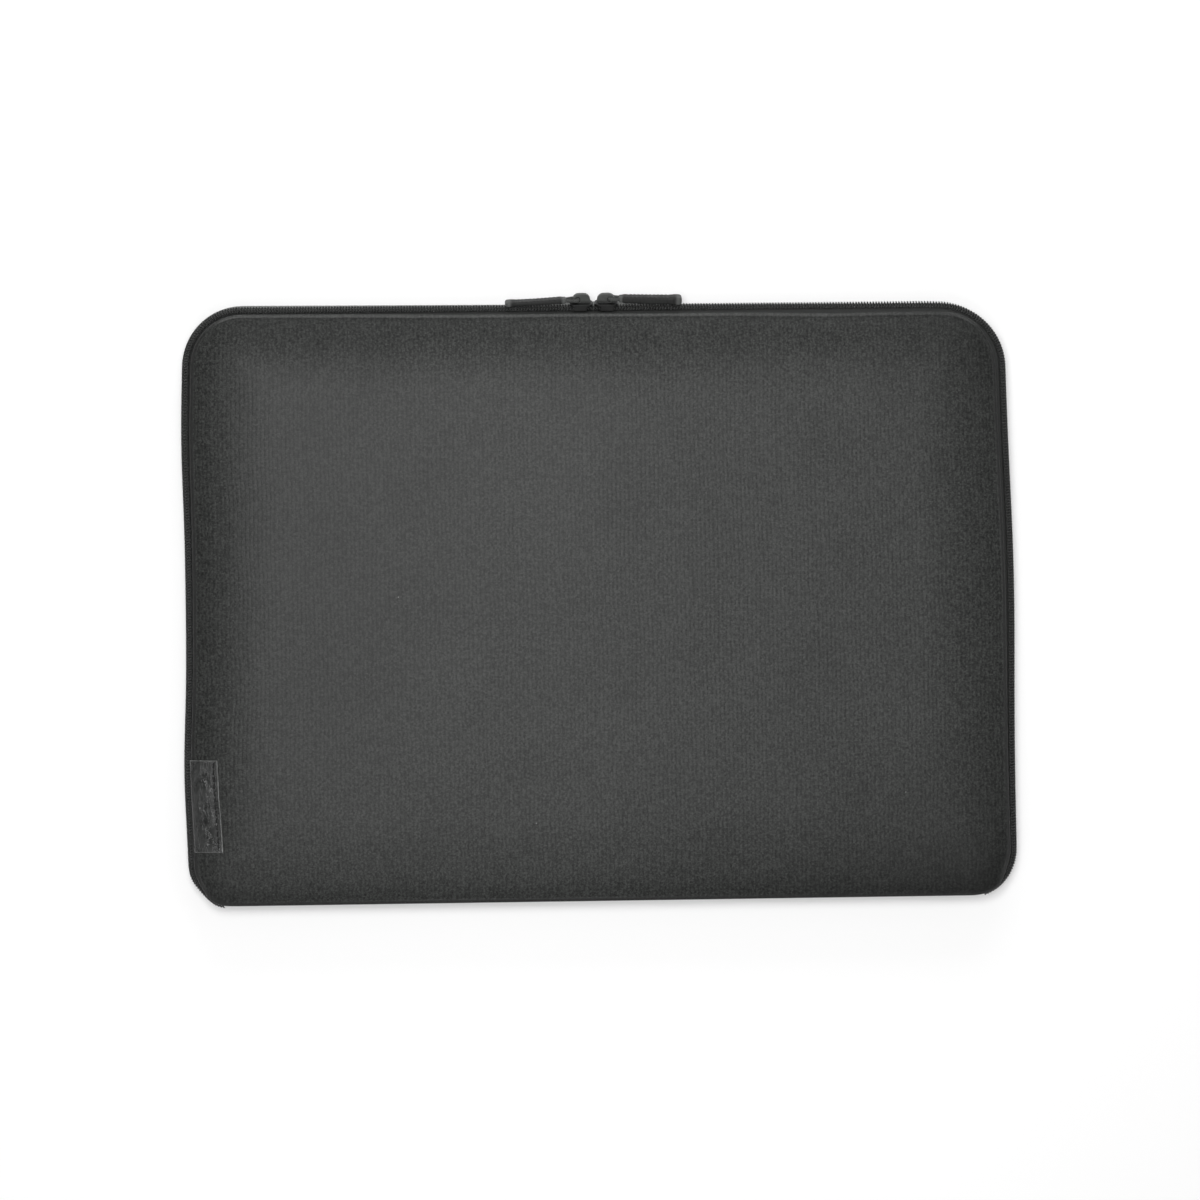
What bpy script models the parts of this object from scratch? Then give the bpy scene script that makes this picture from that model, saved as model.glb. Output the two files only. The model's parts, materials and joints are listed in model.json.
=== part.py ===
"""Padded laptop sleeve that opens like a book: two soft halves joined by a fabric spine at the bottom
edge and closed by one zip that runs up both sides and across the top, with two sliders.

The sleeve lies on its back. +X is to the right, +Y is towards the top edge where the sliders meet,
+Z is up, towards the front. The origin is the middle of the back face. Lengths are in metres.
"""

import math

import bmesh
import bpy
from mathutils import Euler, Matrix, Vector

MM = 0.001

# Driving dimensions of the closed sleeve
WIDTH = 400 * MM
HEIGHT = 290 * MM
THICKNESS = 30 * MM
TOP_CORNER = 28 * MM
BOTTOM_CORNER = 24 * MM
ARC_STEPS = 6

# The front half is smaller than the back half, so the zip faces up a little
FRONT_INSET = (4 * MM, 4 * MM, 0.0)  # at the sides, at the top, at the bottom
BACK_INSET = (0.0, 0.0, 0.0)
WALL = 10.3 * MM  # height of each half's side wall
EDGE_RADIUS = 7.5 * MM  # rounding between a half's face and its wall

# Layers of each half, from the outside in
GAP = 0.3 * MM
SHELL = 1.0 * MM
PADDING = 3.6 * MM
LINING = 0.8 * MM
PADDING_WALL = 7.8 * MM  # the foam stops here, below the seam
BINDING_DEPTH = 1.5 * MM

# Zip: two tapes, each with a coil
TAPE = 0.6 * MM
TAPE_MARGIN = 2.5 * MM  # the part of the tape that is sewn in behind the shell
CHAIN_SHIFT = -0.43 * MM  # from the middle of the slot, towards the back
COIL_GAP = 0.75 * MM  # from the chain's middle to a coil
COIL_WIDTH = 2.0 * MM
COIL_HEIGHT = 2.2 * MM
COIL_LIFT = 0.6 * MM  # from the tape's middle to the underside of a coil
STOP_LENGTH = 2.6 * MM

# Slider, about its own origin on the tape: x along the zip towards the nose, z out of the sleeve
SLIDER_LENGTH = 11.0 * MM
SLIDER_WIDTH = 8.6 * MM
SLIDERS_MEET = -2 * MM  # where the two sliders meet along the top, zip closed
SLIDER_OFFSET = 6.0 * MM  # from there to a slider's middle
TOP_PLATE = (3.1 * MM, 4.1 * MM)
BOTTOM_PLATE = (-1.6 * MM, -0.7 * MM)
FLANGE_FOOT = 0.9 * MM
FLANGE_THICKNESS = 0.9 * MM
POST_HALF_WIDTH = 0.4 * MM
CROWN_LENGTH = 8.8 * MM
CROWN_WIDTH = 2.2 * MM
CROWN_TOP = 8.6 * MM
CROWN_EYE = (2.2 * MM, 2.65 * MM)
PIVOT_BACK = 1.7 * MM  # a pull's cord turns in the crown's eye this far behind the slider's middle

# Pull: a cord loop and a moulded grip, about the pivot, x along the pull
CORD_RADIUS = 0.8 * MM
CORD_SPREAD = 2.1 * MM  # a strand's distance from the middle where it passes the crown
CORD_CLOSE = 1.5 * MM  # the same where it enters the grip
GRIP_START = 5.6 * MM
GRIP_LENGTH = 28 * MM
GRIP_WIDTH = 6.2 * MM
GRIP_TIP_WIDTH = 7.0 * MM
GRIP_THICKNESS = 3.0 * MM
GRIP_SOCKET = 6 * MM
# Side, direction from the middle, height of its pivot on the slider, droop of its tip, roll of its grip
PULLS = (
    ("left", -1, 5.6 * MM, math.radians(1.5), math.radians(3)),
    ("right", 1, 6.0 * MM, math.radians(1.0), math.radians(-1)),
)

# Label sewn round the front half's left edge
TAG_CENTRE_Y = -95.8 * MM
TAG_LENGTH = 45 * MM
TAG_THICKNESS = 0.8 * MM
TAG_FLAT = 5.4 * MM  # how far it runs onto the flat of the front
STITCH_COUNT = 13
STITCH_PITCH = 3.3 * MM
STITCH_LENGTH = 2.4 * MM
STITCH_RISE = 0.3 * MM
STITCH_RADIUS = 0.3 * MM
STITCH_INSET = 2.1 * MM  # from the label's inner edge

BACK_RIM = WALL
FRONT_RIM = THICKNESS - WALL
SPINE_HALF_LENGTH = WIDTH / 2 - BOTTOM_CORNER - 3 * MM
TAPE_DEPTH = SHELL + GAP + TAPE / 2  # from a half's outside to the middle of its tape

sleeve = bpy.data.collections.new("laptop_sleeve")
cutters = bpy.data.collections.new("cutters")


# ---------------------------------------------------------------- scene, materials, objects

def clear_scene():
    for obj in list(bpy.data.objects):
        bpy.data.objects.remove(obj)
    for collection in (sleeve, cutters):
        bpy.context.scene.collection.children.link(collection)


def material(name, colour, roughness, metallic=0.0):
    made = bpy.data.materials.new(name)
    made.use_nodes = True
    shader = made.node_tree.nodes["Principled BSDF"]
    shader.inputs["Base Color"].default_value = (*colour, 1)
    shader.inputs["Roughness"].default_value = roughness
    shader.inputs["Metallic"].default_value = metallic
    return made


def add_object(name, mesh, look, parent=None, collection=sleeve, in_place=True):
    """An object for the mesh. Its shape is in the sleeve's frame if in_place, else in its parent's."""
    obj = bpy.data.objects.new(name, mesh)
    collection.objects.link(obj)
    obj.parent = parent
    if parent and in_place:
        obj.matrix_parent_inverse = parent.matrix_world.inverted()
    if look:
        mesh.materials.clear()
        mesh.materials.append(look)
    return obj


def mesh_from(bm, name):
    bmesh.ops.recalc_face_normals(bm, faces=bm.faces)
    mesh = bpy.data.meshes.new(name)
    bm.to_mesh(mesh)
    bm.free()
    return mesh


def smooth(obj, angle=math.radians(35)):
    obj.data.shade_smooth()
    obj.data.set_sharp_from_angle(angle=angle)


def mesh_of_curve(curve_object):
    """The curve as a closed mesh with its caps welded. The curve is removed."""
    bpy.context.view_layer.update()
    evaluated = curve_object.evaluated_get(bpy.context.evaluated_depsgraph_get())
    mesh = bpy.data.meshes.new_from_object(evaluated)
    mesh.transform(curve_object.matrix_world)
    bpy.data.objects.remove(curve_object)
    bm = bmesh.new()
    bm.from_mesh(mesh)
    bmesh.ops.remove_doubles(bm, verts=bm.verts, dist=0.01 * MM)
    bmesh.ops.recalc_face_normals(bm, faces=bm.faces)
    bm.to_mesh(mesh)
    bm.free()
    return mesh


def add_boolean(obj, other, operation):
    modifier = obj.modifiers.new(operation.lower(), "BOOLEAN")
    modifier.operation = operation
    modifier.object = other
    other.hide_render = True
    other.display_type = "WIRE"


def box_mesh(name, low, high):
    bm = bmesh.new()
    bmesh.ops.create_cube(bm, size=1)
    low, high = Vector(low), Vector(high)
    for vert in bm.verts:
        vert.co = (low + high) / 2 + Vector(a * b for a, b in zip(vert.co, high - low))
    return mesh_from(bm, name)


# ---------------------------------------------------------------- outlines

def corner_arcs(inset):
    """The four rounded corners of an outline, clockwise from the bottom left, as lists of (x, y).

    Every outline shares the corner centres, so their points match one to one. Insets from the overall
    size are (side, top, bottom), and unlike insets make a corner elliptical."""
    side, top, bottom = inset
    arcs = []
    for x_sign, y_sign, first in ((-1, -1, 270), (-1, 1, 180), (1, 1, 90), (1, -1, 0)):
        radius = TOP_CORNER if y_sign > 0 else BOTTOM_CORNER
        centre_x = x_sign * (WIDTH / 2 - radius)
        centre_y = y_sign * (HEIGHT / 2 - radius)
        reach_x = radius - side
        reach_y = radius - (top if y_sign > 0 else bottom)
        arc = []
        for step in range(ARC_STEPS + 1):
            angle = math.radians(first - 90 * step / ARC_STEPS)
            arc.append((centre_x + reach_x * math.cos(angle), centre_y + reach_y * math.sin(angle)))
        arcs.append(arc)
    return arcs


def deeper(inset, by):
    return tuple(value + by for value in inset)


def rail(inset, z):
    """The zip's course at one inset and height: from the bottom left round to the bottom right."""
    return [(x, y, z) for arc in corner_arcs(inset) for x, y in arc]


def slot_point(share, lift):
    """(inset, z) in the slot between the halves: share 0 is the back tape's bend and 1 is the front's,
    and lift is the distance out from the tape."""
    back = deeper(BACK_INSET, TAPE_DEPTH)
    front = deeper(FRONT_INSET, TAPE_DEPTH)
    rise, lean = FRONT_RIM - BACK_RIM, FRONT_INSET[1] - BACK_INSET[1]
    slope = math.hypot(rise, lean)
    inset = tuple(b + (f - b) * share - lift * rise / slope for b, f in zip(back, front))
    return inset, BACK_RIM + rise * share + lift * lean / slope


SLOT_WIDTH = math.hypot(FRONT_RIM - BACK_RIM, FRONT_INSET[1] - BACK_INSET[1])


def chain_share(across):
    """The share of the slot's width at a distance across from the chain's middle, towards the front."""
    return 0.5 + (CHAIN_SHIFT + across) / SLOT_WIDTH


# ---------------------------------------------------------------- soft layers

def tray(name, look, parent, inset, base, rim, radius, thickness):
    """One layer of a half: a face with rounded edges and a side wall, open at the rim."""
    bm = bmesh.new()
    points = [point for arc in corner_arcs(inset) for point in arc]
    floor = bm.faces.new([bm.verts.new((x, y, base)) for x, y in points])
    walls = bmesh.ops.extrude_face_region(bm, geom=[floor])["geom"]
    moved = [item for item in walls if isinstance(item, bmesh.types.BMVert)]
    bmesh.ops.translate(bm, verts=moved, vec=(0, 0, rim - base))
    open_side = [face for face in bm.faces if all(abs(v.co.z - rim) < 0.001 * MM for v in face.verts)]
    bmesh.ops.delete(bm, geom=open_side, context="FACES_ONLY")
    mesh = mesh_from(bm, name)
    facing_out = mesh.polygons[0].normal.z * (rim - base) < 0
    if not facing_out:
        mesh.flip_normals()
    obj = add_object(name, mesh, look, parent)
    rounding = obj.modifiers.new("edge", "BEVEL")
    rounding.width = radius
    rounding.segments = 4
    rounding.limit_method = "ANGLE"
    rounding.angle_limit = math.radians(60)
    rounding.use_clamp_overlap = False
    thick = obj.modifiers.new("thickness", "SOLIDIFY")
    thick.thickness = thickness
    thick.offset = -1
    thick.use_even_offset = True
    smooth(obj)
    return obj


def half(side, inset, face, inward, parent, looks):
    """The shell, padding and lining of one half. inward is +1 for the back, whose face is down."""
    rim = face + inward * WALL
    depth = 0.0
    for layer, thickness, top in (
        ("shell", SHELL, rim),
        ("padding", PADDING, face + inward * PADDING_WALL),
        ("lining", LINING, rim),
    ):
        tray(
            f"{side}_{layer}", looks[layer], parent, deeper(inset, depth),
            face + inward * depth, top, EDGE_RADIUS - depth, thickness,
        )
        depth += thickness + GAP


def ribbon(name, look, parent, rows, thickness, offset):
    """A strip through rows of points, given from its back edge to its front edge, and its thickness.
    Offset 1 thickens it outwards and 0 both ways."""
    bm = bmesh.new()
    grid = [[bm.verts.new(point) for point in row] for row in rows]
    for low, high in zip(grid, grid[1:]):
        for a, b, c, d in zip(low, low[1:], high[1:], high):
            bm.faces.new((a, d, c, b))
    mesh = bpy.data.meshes.new(name)
    bm.to_mesh(mesh)
    bm.free()
    middle = mesh.polygons[len(mesh.polygons) // 2]
    if middle.normal.dot(Vector((middle.center.x, middle.center.y, 0))) < 0:
        mesh.flip_normals()
    obj = add_object(name, mesh, look, parent)
    thick = obj.modifiers.new("thickness", "SOLIDIFY")
    thick.thickness = thickness
    thick.offset = offset
    thick.use_even_offset = True
    return obj


def zip_stringer(side, inset, rim, inward, parent, looks):
    """One half's tape, with its margin sewn in behind the shell, and its coil and end stops."""
    towards = inward  # the back's tape rises to the chain, and the front's comes down to it
    margin = rail(deeper(inset, TAPE_DEPTH), rim - inward * TAPE_MARGIN)
    bend = rail(deeper(inset, TAPE_DEPTH), rim)
    edge = rail(*slot_point(chain_share(-towards * COIL_GAP), 0))
    ribbon(f"{side}_zip_tape", looks["tape"], parent, [margin, bend, edge], TAPE, 0)
    near = rail(*slot_point(chain_share(-towards * COIL_GAP), COIL_LIFT))[1:-1]
    far = rail(*slot_point(chain_share(-towards * (COIL_GAP + COIL_WIDTH)), COIL_LIFT))[1:-1]
    ribbon(f"{side}_zip_coil", looks["coil"], parent, [near, far], COIL_HEIGHT, 1)
    middle = rail(*slot_point(
        chain_share(-towards * (COIL_GAP + COIL_WIDTH / 2)), COIL_LIFT + COIL_HEIGHT / 2))
    for end, point, inner in (("left", 0, 1), ("right", -1, -2)):
        first, second = Vector(middle[point]), Vector(middle[inner])
        along = (second - first).normalized()
        centre = second - along * (GAP + STOP_LENGTH / 2)
        mesh = box_mesh("stop", (-STOP_LENGTH / 2, -COIL_HEIGHT / 2, -COIL_WIDTH / 2 - 0.2 * MM),
                        (STOP_LENGTH / 2, COIL_HEIGHT / 2, COIL_WIDTH / 2 + 0.2 * MM))
        stop = add_object(f"{side}_{end}_stop", mesh, looks["metal"], parent)
        stop.location = centre
        stop.rotation_euler = (0, 0, math.atan2(along.y, along.x))
        edge_round = stop.modifiers.new("edge", "BEVEL")
        edge_round.width = 0.4 * MM
        edge_round.segments = 1


def binding(side, inset, rim, inward, parent, look):
    """Folded tape over the raw edges of the inner seam, between the zip's margin and the lining."""
    outer = SHELL + 2 * GAP + TAPE + 0.1 * MM
    inner = SHELL + PADDING + GAP - 0.1 * MM
    z = rim - inward * (0.6 * MM + BINDING_DEPTH / 2)
    rows = [rail(deeper(inset, outer), z), rail(deeper(inset, inner), z)]
    bm = bmesh.new()
    grid = [[bm.verts.new(point) for point in row] for row in rows]
    for a, b, c, d in zip(grid[0], grid[0][1:], grid[1][1:], grid[1]):
        bm.faces.new((a, b, c, d))
    obj = add_object(f"{side}_binding", mesh_from(bm, f"{side}_binding"), look, parent)
    thick = obj.modifiers.new("thickness", "SOLIDIFY")
    thick.thickness = BINDING_DEPTH
    thick.offset = 0


def spine(parent, looks):
    """The fabric hinge along the bottom edge: an outer strip and its lining."""
    outside = -HEIGHT / 2
    low, high = BACK_RIM + GAP / 2, FRONT_RIM - GAP / 2
    lining_y = outside + SHELL + GAP
    for name, look, near, far, short in (
        ("spine_cover", looks["shell"], outside, outside + SHELL, 0),
        ("spine_lining", looks["lining"], lining_y, lining_y + LINING, 2 * MM),
    ):
        reach = SPINE_HALF_LENGTH - short
        mesh = box_mesh(name, (-reach, near, low), (reach, far, high))
        add_object(name, mesh, look, parent)


# ---------------------------------------------------------------- label

def edge_point(angle, lift):
    """(x, z) on the front half's left edge, lift outside its shell. Angle 0 is the wall, 90 the face."""
    centre_x = -WIDTH / 2 + FRONT_INSET[0] + EDGE_RADIUS
    reach = EDGE_RADIUS + lift
    return centre_x - reach * math.cos(angle), THICKNESS - EDGE_RADIUS + reach * math.sin(angle)


def tag(parent, look):
    steps = 6
    profile = [edge_point(math.radians(90 * n / steps), GAP) for n in range(steps + 1)]
    profile.append((profile[-1][0] + TAG_FLAT, profile[-1][1]))
    bm = bmesh.new()
    ends = [TAG_CENTRE_Y - TAG_LENGTH / 2, TAG_CENTRE_Y + TAG_LENGTH / 2]
    rows = [[bm.verts.new((x, y, z)) for x, z in profile] for y in ends]
    for a, b, c, d in zip(rows[0], rows[0][1:], rows[1][1:], rows[1]):
        bm.faces.new((a, b, c, d))
    mesh = bpy.data.meshes.new("tag")
    bm.to_mesh(mesh)
    bm.free()
    obj = add_object("tag", mesh, look, parent)
    if mesh.polygons[-1].normal.z < 0:
        mesh.flip_normals()
    thick = obj.modifiers.new("thickness", "SOLIDIFY")
    thick.thickness = TAG_THICKNESS
    thick.offset = 1


def tag_thread(parent, look):
    """The sewing thread along the label's inner edge, up over each stitch and down between them."""
    x, low = edge_point(math.pi / 2, GAP + TAG_THICKNESS + GAP + STITCH_RADIUS)
    x += TAG_FLAT - STITCH_INSET
    first = TAG_CENTRE_Y - STITCH_PITCH * (STITCH_COUNT - 1) / 2
    curve = bpy.data.curves.new("tag_thread", "CURVE")
    curve.dimensions = "3D"
    curve.bevel_depth = STITCH_RADIUS
    curve.bevel_resolution = 0
    curve.use_fill_caps = True
    shape = ((-0.5, 0), (-0.3, STITCH_RISE), (0.3, STITCH_RISE), (0.5, 0))
    spline = curve.splines.new("POLY")
    spline.points.add(len(shape) * STITCH_COUNT - 1)
    for n, point in enumerate(spline.points):
        along, rise = shape[n % len(shape)]
        y = first + (n // len(shape)) * STITCH_PITCH + along * STITCH_LENGTH
        point.co = (x, y, low + rise, 1)
    obj = bpy.data.objects.new("tag_thread", curve)
    cutters.objects.link(obj)
    add_object("tag_thread", mesh_of_curve(obj), look, parent)


# ---------------------------------------------------------------- slider and pull

def flat_outline(name, rings, thickness, turn):
    """A prism from flat rings of points, the first its outline and any others holes."""
    curve = bpy.data.curves.new(name, "CURVE")
    curve.dimensions = "2D"
    curve.fill_mode = "BOTH"
    curve.extrude = thickness / 2
    for ring in rings:
        spline = curve.splines.new("POLY")
        spline.points.add(len(ring) - 1)
        for point, (x, y) in zip(spline.points, ring):
            point.co = (x, y, 0, 1)
        spline.use_cyclic_u = True
    obj = bpy.data.objects.new(name, curve)
    cutters.objects.link(obj)
    obj.rotation_euler = turn
    return mesh_of_curve(obj)


def rounded_ring(low, high, radii, steps=4):
    """A rectangle with corners of the given radii: bottom left, bottom right, top right, top left."""
    corners = ((low[0], low[1], 180), (high[0], low[1], 270), (high[0], high[1], 0), (low[0], high[1], 90))
    ring = []
    for (x, y, first), radius in zip(corners, radii):
        if not radius:
            ring.append((x, y))
            continue
        centre_x = x + radius if x == low[0] else x - radius
        centre_y = y + radius if y == low[1] else y - radius
        for step in range(steps + 1):
            angle = math.radians(first + 90 * step / steps)
            ring.append((centre_x + radius * math.cos(angle), centre_y + radius * math.sin(angle)))
    return ring


def crown_mesh():
    """The bridge on top of the slider, with the eye that the pull hangs in."""
    half_length = CROWN_LENGTH / 2
    foot = TOP_PLATE[1] - 0.3 * MM
    outline = rounded_ring((-half_length, foot), (half_length, CROWN_TOP), (0, 0, 3.2 * MM, 3.2 * MM))
    eye_low = TOP_PLATE[1] + 0.35 * MM
    eye = rounded_ring(
        (-PIVOT_BACK - CROWN_EYE[0] / 2, eye_low), (-PIVOT_BACK + CROWN_EYE[0] / 2, eye_low + CROWN_EYE[1]),
        (0.6 * MM, 0.6 * MM, 1.0 * MM, 1.0 * MM),
    )
    return flat_outline("crown", [outline, eye], CROWN_WIDTH, (math.pi / 2, 0, 0))


def slider_mesh():
    """Body and crown, one casting: two plates joined by the post, with flanges on the top plate."""
    half_length, half_width = SLIDER_LENGTH / 2, SLIDER_WIDTH / 2
    top = rounded_ring((-half_length, -half_width), (half_length, half_width), (2 * MM, 3 * MM, 3 * MM, 2 * MM))
    plates = []
    for low, high in (TOP_PLATE, BOTTOM_PLATE):
        mesh = flat_outline("plate", [top], high - low, (0, 0, 0))
        mesh.transform(Matrix.Translation((0, 0, (low + high) / 2)))
        plates.append(mesh)
    body = add_object("slider_master", plates[0], None, collection=cutters)
    joined = [plates[1], crown_mesh()]
    overlap = 0.2 * MM
    for sign in (-1, 1):
        outer, inner = sign * half_width, sign * (half_width - FLANGE_THICKNESS)
        joined.append(box_mesh(
            "flange", (-half_length + 1.9 * MM, min(outer, inner), FLANGE_FOOT),
            (half_length - 2.9 * MM, max(outer, inner), TOP_PLATE[0] + overlap),
        ))
    joined.append(box_mesh(
        "post", (1.6 * MM, -POST_HALF_WIDTH, BOTTOM_PLATE[1] - overlap),
        (half_length - 0.5 * MM, POST_HALF_WIDTH, TOP_PLATE[0] + overlap),
    ))
    for number, mesh in enumerate(joined):
        piece = add_object(f"slider_piece_{number}", mesh, None, collection=cutters)
        add_boolean(body, piece, "UNION")
    bpy.context.view_layer.update()
    evaluated = body.evaluated_get(bpy.context.evaluated_depsgraph_get())
    mesh = bpy.data.meshes.new_from_object(evaluated)
    for obj in list(cutters.objects):
        bpy.data.objects.remove(obj)
    return mesh


def cord_points(roll):
    """One strand out of the grip, through the crown's eye and back into the grip. Between the crown and
    the grip the two strands twist with the grip's roll."""
    strand_end = GRIP_START + GRIP_SOCKET - 2 * GAP
    half_loop = [
        (strand_end, CORD_CLOSE), (GRIP_START, CORD_CLOSE), (GRIP_START - 1.2 * MM, CORD_CLOSE + 0.1 * MM),
        (2.6 * MM, CORD_SPREAD - 0.05 * MM), (1.6 * MM, CORD_SPREAD), (0.8 * MM, CORD_SPREAD - 0.1 * MM),
        (0.25 * MM, CORD_SPREAD - 0.55 * MM), (0, CORD_SPREAD - 1.1 * MM),
    ]
    points = []
    for x, y in half_loop + [(x, -y) for x, y in reversed(half_loop)]:
        turn = roll * min(max((x - 1.6 * MM) / (GRIP_START - 1.6 * MM), 0), 1)
        points.append((x, y * math.cos(turn), y * math.sin(turn)))
    return points


def cord_mesh(roll):
    curve = bpy.data.curves.new("cord", "CURVE")
    curve.dimensions = "3D"
    curve.bevel_depth = CORD_RADIUS
    curve.bevel_resolution = 1
    curve.use_fill_caps = True
    spline = curve.splines.new("POLY")
    points = cord_points(roll)
    spline.points.add(len(points) - 1)
    for point, place in zip(spline.points, points):
        point.co = (*place, 1)
    obj = bpy.data.objects.new("cord", curve)
    cutters.objects.link(obj)
    return mesh_of_curve(obj)


def grip_outline():
    """The grip from above: straight sides, and a flared, rounded tip."""
    end = GRIP_START + GRIP_LENGTH
    neck = end - 4.5 * MM
    half_root, half_tip = GRIP_WIDTH / 2 - 0.3 * MM, GRIP_TIP_WIDTH / 2
    side = [
        (GRIP_START, half_root - 0.8 * MM), (GRIP_START + 0.8 * MM, half_root),
        (neck, GRIP_WIDTH / 2 - 0.1 * MM), (neck + 1.2 * MM, half_tip),
        (end - 1.6 * MM, half_tip), (end - 0.5 * MM, half_tip - 0.7 * MM), (end, half_tip - 2 * MM),
    ]
    return side + [(x, -y) for x, y in reversed(side)]


def grip_mesh():
    """The moulded grip, with two sockets for the cord's ends."""
    body = add_object(
        "grip_master", flat_outline("grip", [grip_outline()], GRIP_THICKNESS, (0, 0, 0)), None,
        collection=cutters,
    )
    rounding = body.modifiers.new("edge", "BEVEL")
    rounding.width = 0.7 * MM
    rounding.segments = 2
    rounding.limit_method = "ANGLE"
    rounding.angle_limit = math.radians(60)
    for sign in (-1, 1):
        bm = bmesh.new()
        bmesh.ops.create_cone(
            bm, cap_ends=True, segments=12, radius1=CORD_RADIUS + GAP, radius2=CORD_RADIUS + GAP,
            depth=2 * GRIP_SOCKET,
            matrix=Matrix.Translation((GRIP_START, sign * CORD_CLOSE, 0)) @ Matrix.Rotation(math.pi / 2, 4, "Y"),
        )
        socket = add_object(f"socket_{sign}", mesh_from(bm, "socket"), None, collection=cutters)
        add_boolean(body, socket, "DIFFERENCE")
    bpy.context.view_layer.update()
    mesh = bpy.data.meshes.new_from_object(body.evaluated_get(bpy.context.evaluated_depsgraph_get()))
    for obj in list(cutters.objects):
        bpy.data.objects.remove(obj)
    return mesh


def add_empty(name, matrix):
    empty = bpy.data.objects.new(name, None)
    sleeve.objects.link(empty)
    empty.matrix_world = matrix
    return empty


def slider_frame():
    """Where a slider's origin lies on the chain, and the outward normal there, in the middle of the top."""
    inset, z = slot_point(chain_share(0), 0)
    outer_inset, outer_z = slot_point(chain_share(0), 1 * MM)
    place = Vector((0, HEIGHT / 2 - inset[1], z))
    out = Vector((0, HEIGHT / 2 - outer_inset[1], outer_z)) - place
    return place, out.normalized()


def sliders_and_pulls(looks):
    place, out = slider_frame()
    body_mesh, handle_mesh = slider_mesh(), grip_mesh()
    for side, sign, height, droop, roll in PULLS:
        nose = Vector((-sign, 0, 0))
        across = out.cross(nose)
        turned = Matrix((nose, across, out)).transposed().to_4x4()
        frame = Matrix.Translation(place + Vector((SLIDERS_MEET + sign * SLIDER_OFFSET, 0, 0))) @ turned
        carriage = add_empty(f"{side}_slider", frame)
        bpy.context.view_layer.update()
        body = add_object(f"{side}_slider_body", body_mesh.copy(), looks["metal"], carriage, in_place=False)
        smooth(body)
        # A pull runs from its pivot away from the nose, so it is turned half round
        pivot = frame @ Matrix.Translation((-PIVOT_BACK, 0, height))
        pivot = pivot @ Euler((0, droop, math.pi)).to_matrix().to_4x4()
        swing = add_empty(f"{side}_pull", pivot)
        cord = add_object(f"{side}_pull_cord", cord_mesh(roll), looks["cord"], swing, in_place=False)
        grip = add_object(f"{side}_pull_grip", handle_mesh.copy(), looks["grip"], swing, in_place=False)
        grip.rotation_euler = (roll, 0, 0)
        for piece in (cord, grip):
            smooth(piece)


def build():
    clear_scene()
    looks = {
        "shell": material("ribbed_knit", (0.022, 0.023, 0.022), 0.9),
        "padding": material("foam", (0.12, 0.12, 0.12), 0.95),
        "lining": material("plush_lining", (0.03, 0.03, 0.032), 0.95),
        "tape": material("zip_tape", (0.008, 0.008, 0.008), 0.85),
        "coil": material("zip_coil", (0.01, 0.01, 0.01), 0.45),
        "metal": material("dark_nickel", (0.09, 0.09, 0.09), 0.35, 1.0),
        "cord": material("pull_cord", (0.01, 0.01, 0.01), 0.8),
        "grip": material("pull_grip", (0.012, 0.012, 0.012), 0.5),
        "tag": material("tag_leather", (0.03, 0.03, 0.03), 0.45),
        "thread": material("thread", (0.006, 0.006, 0.006), 0.7),
    }
    back = add_empty("back_half", Matrix.Identity(4))
    spine_hinge = add_empty("spine", Matrix.Translation((0, -HEIGHT / 2, BACK_RIM + GAP / 2)))
    cover_hinge = add_empty("front_cover", Matrix.Translation((0, -HEIGHT / 2, FRONT_RIM - GAP / 2)))
    bpy.context.view_layer.update()
    half("back", BACK_INSET, 0.0, 1, back, looks)
    half("front", FRONT_INSET, THICKNESS, -1, cover_hinge, looks)
    for side, inset, rim, inward, parent in (
        ("back", BACK_INSET, BACK_RIM, 1, back), ("front", FRONT_INSET, FRONT_RIM, -1, cover_hinge),
    ):
        zip_stringer(side, inset, rim, inward, parent, looks)
        binding(side, inset, rim, inward, parent, looks["tape"])
    spine(spine_hinge, looks)
    tag(cover_hinge, looks["tag"])
    tag_thread(cover_hinge, looks["thread"])
    sliders_and_pulls(looks)


build()
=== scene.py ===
"""Looks of the padded laptop sleeve: crowned knit panels, plush lining, zip, sliders, pulls and label.

Everything is in the part's own frame, in metres: the sleeve lies on its back, +X right, +Y to the top
edge, where the sliders meet, +Z up through the front.
"""

import json
import math
from functools import partialmethod

import bpy
import numpy as np
from mathutils import Euler, Matrix, Vector, noise


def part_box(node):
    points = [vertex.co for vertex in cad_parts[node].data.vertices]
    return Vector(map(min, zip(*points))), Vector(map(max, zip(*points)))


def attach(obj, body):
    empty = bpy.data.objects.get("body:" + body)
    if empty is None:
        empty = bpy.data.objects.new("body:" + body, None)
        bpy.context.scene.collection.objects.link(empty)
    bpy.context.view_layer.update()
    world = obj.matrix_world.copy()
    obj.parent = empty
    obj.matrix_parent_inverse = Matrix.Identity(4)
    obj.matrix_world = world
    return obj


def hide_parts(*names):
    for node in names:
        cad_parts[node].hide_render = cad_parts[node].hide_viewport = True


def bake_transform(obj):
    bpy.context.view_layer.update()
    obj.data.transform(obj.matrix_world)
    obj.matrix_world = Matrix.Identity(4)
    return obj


MM = 0.001

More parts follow.
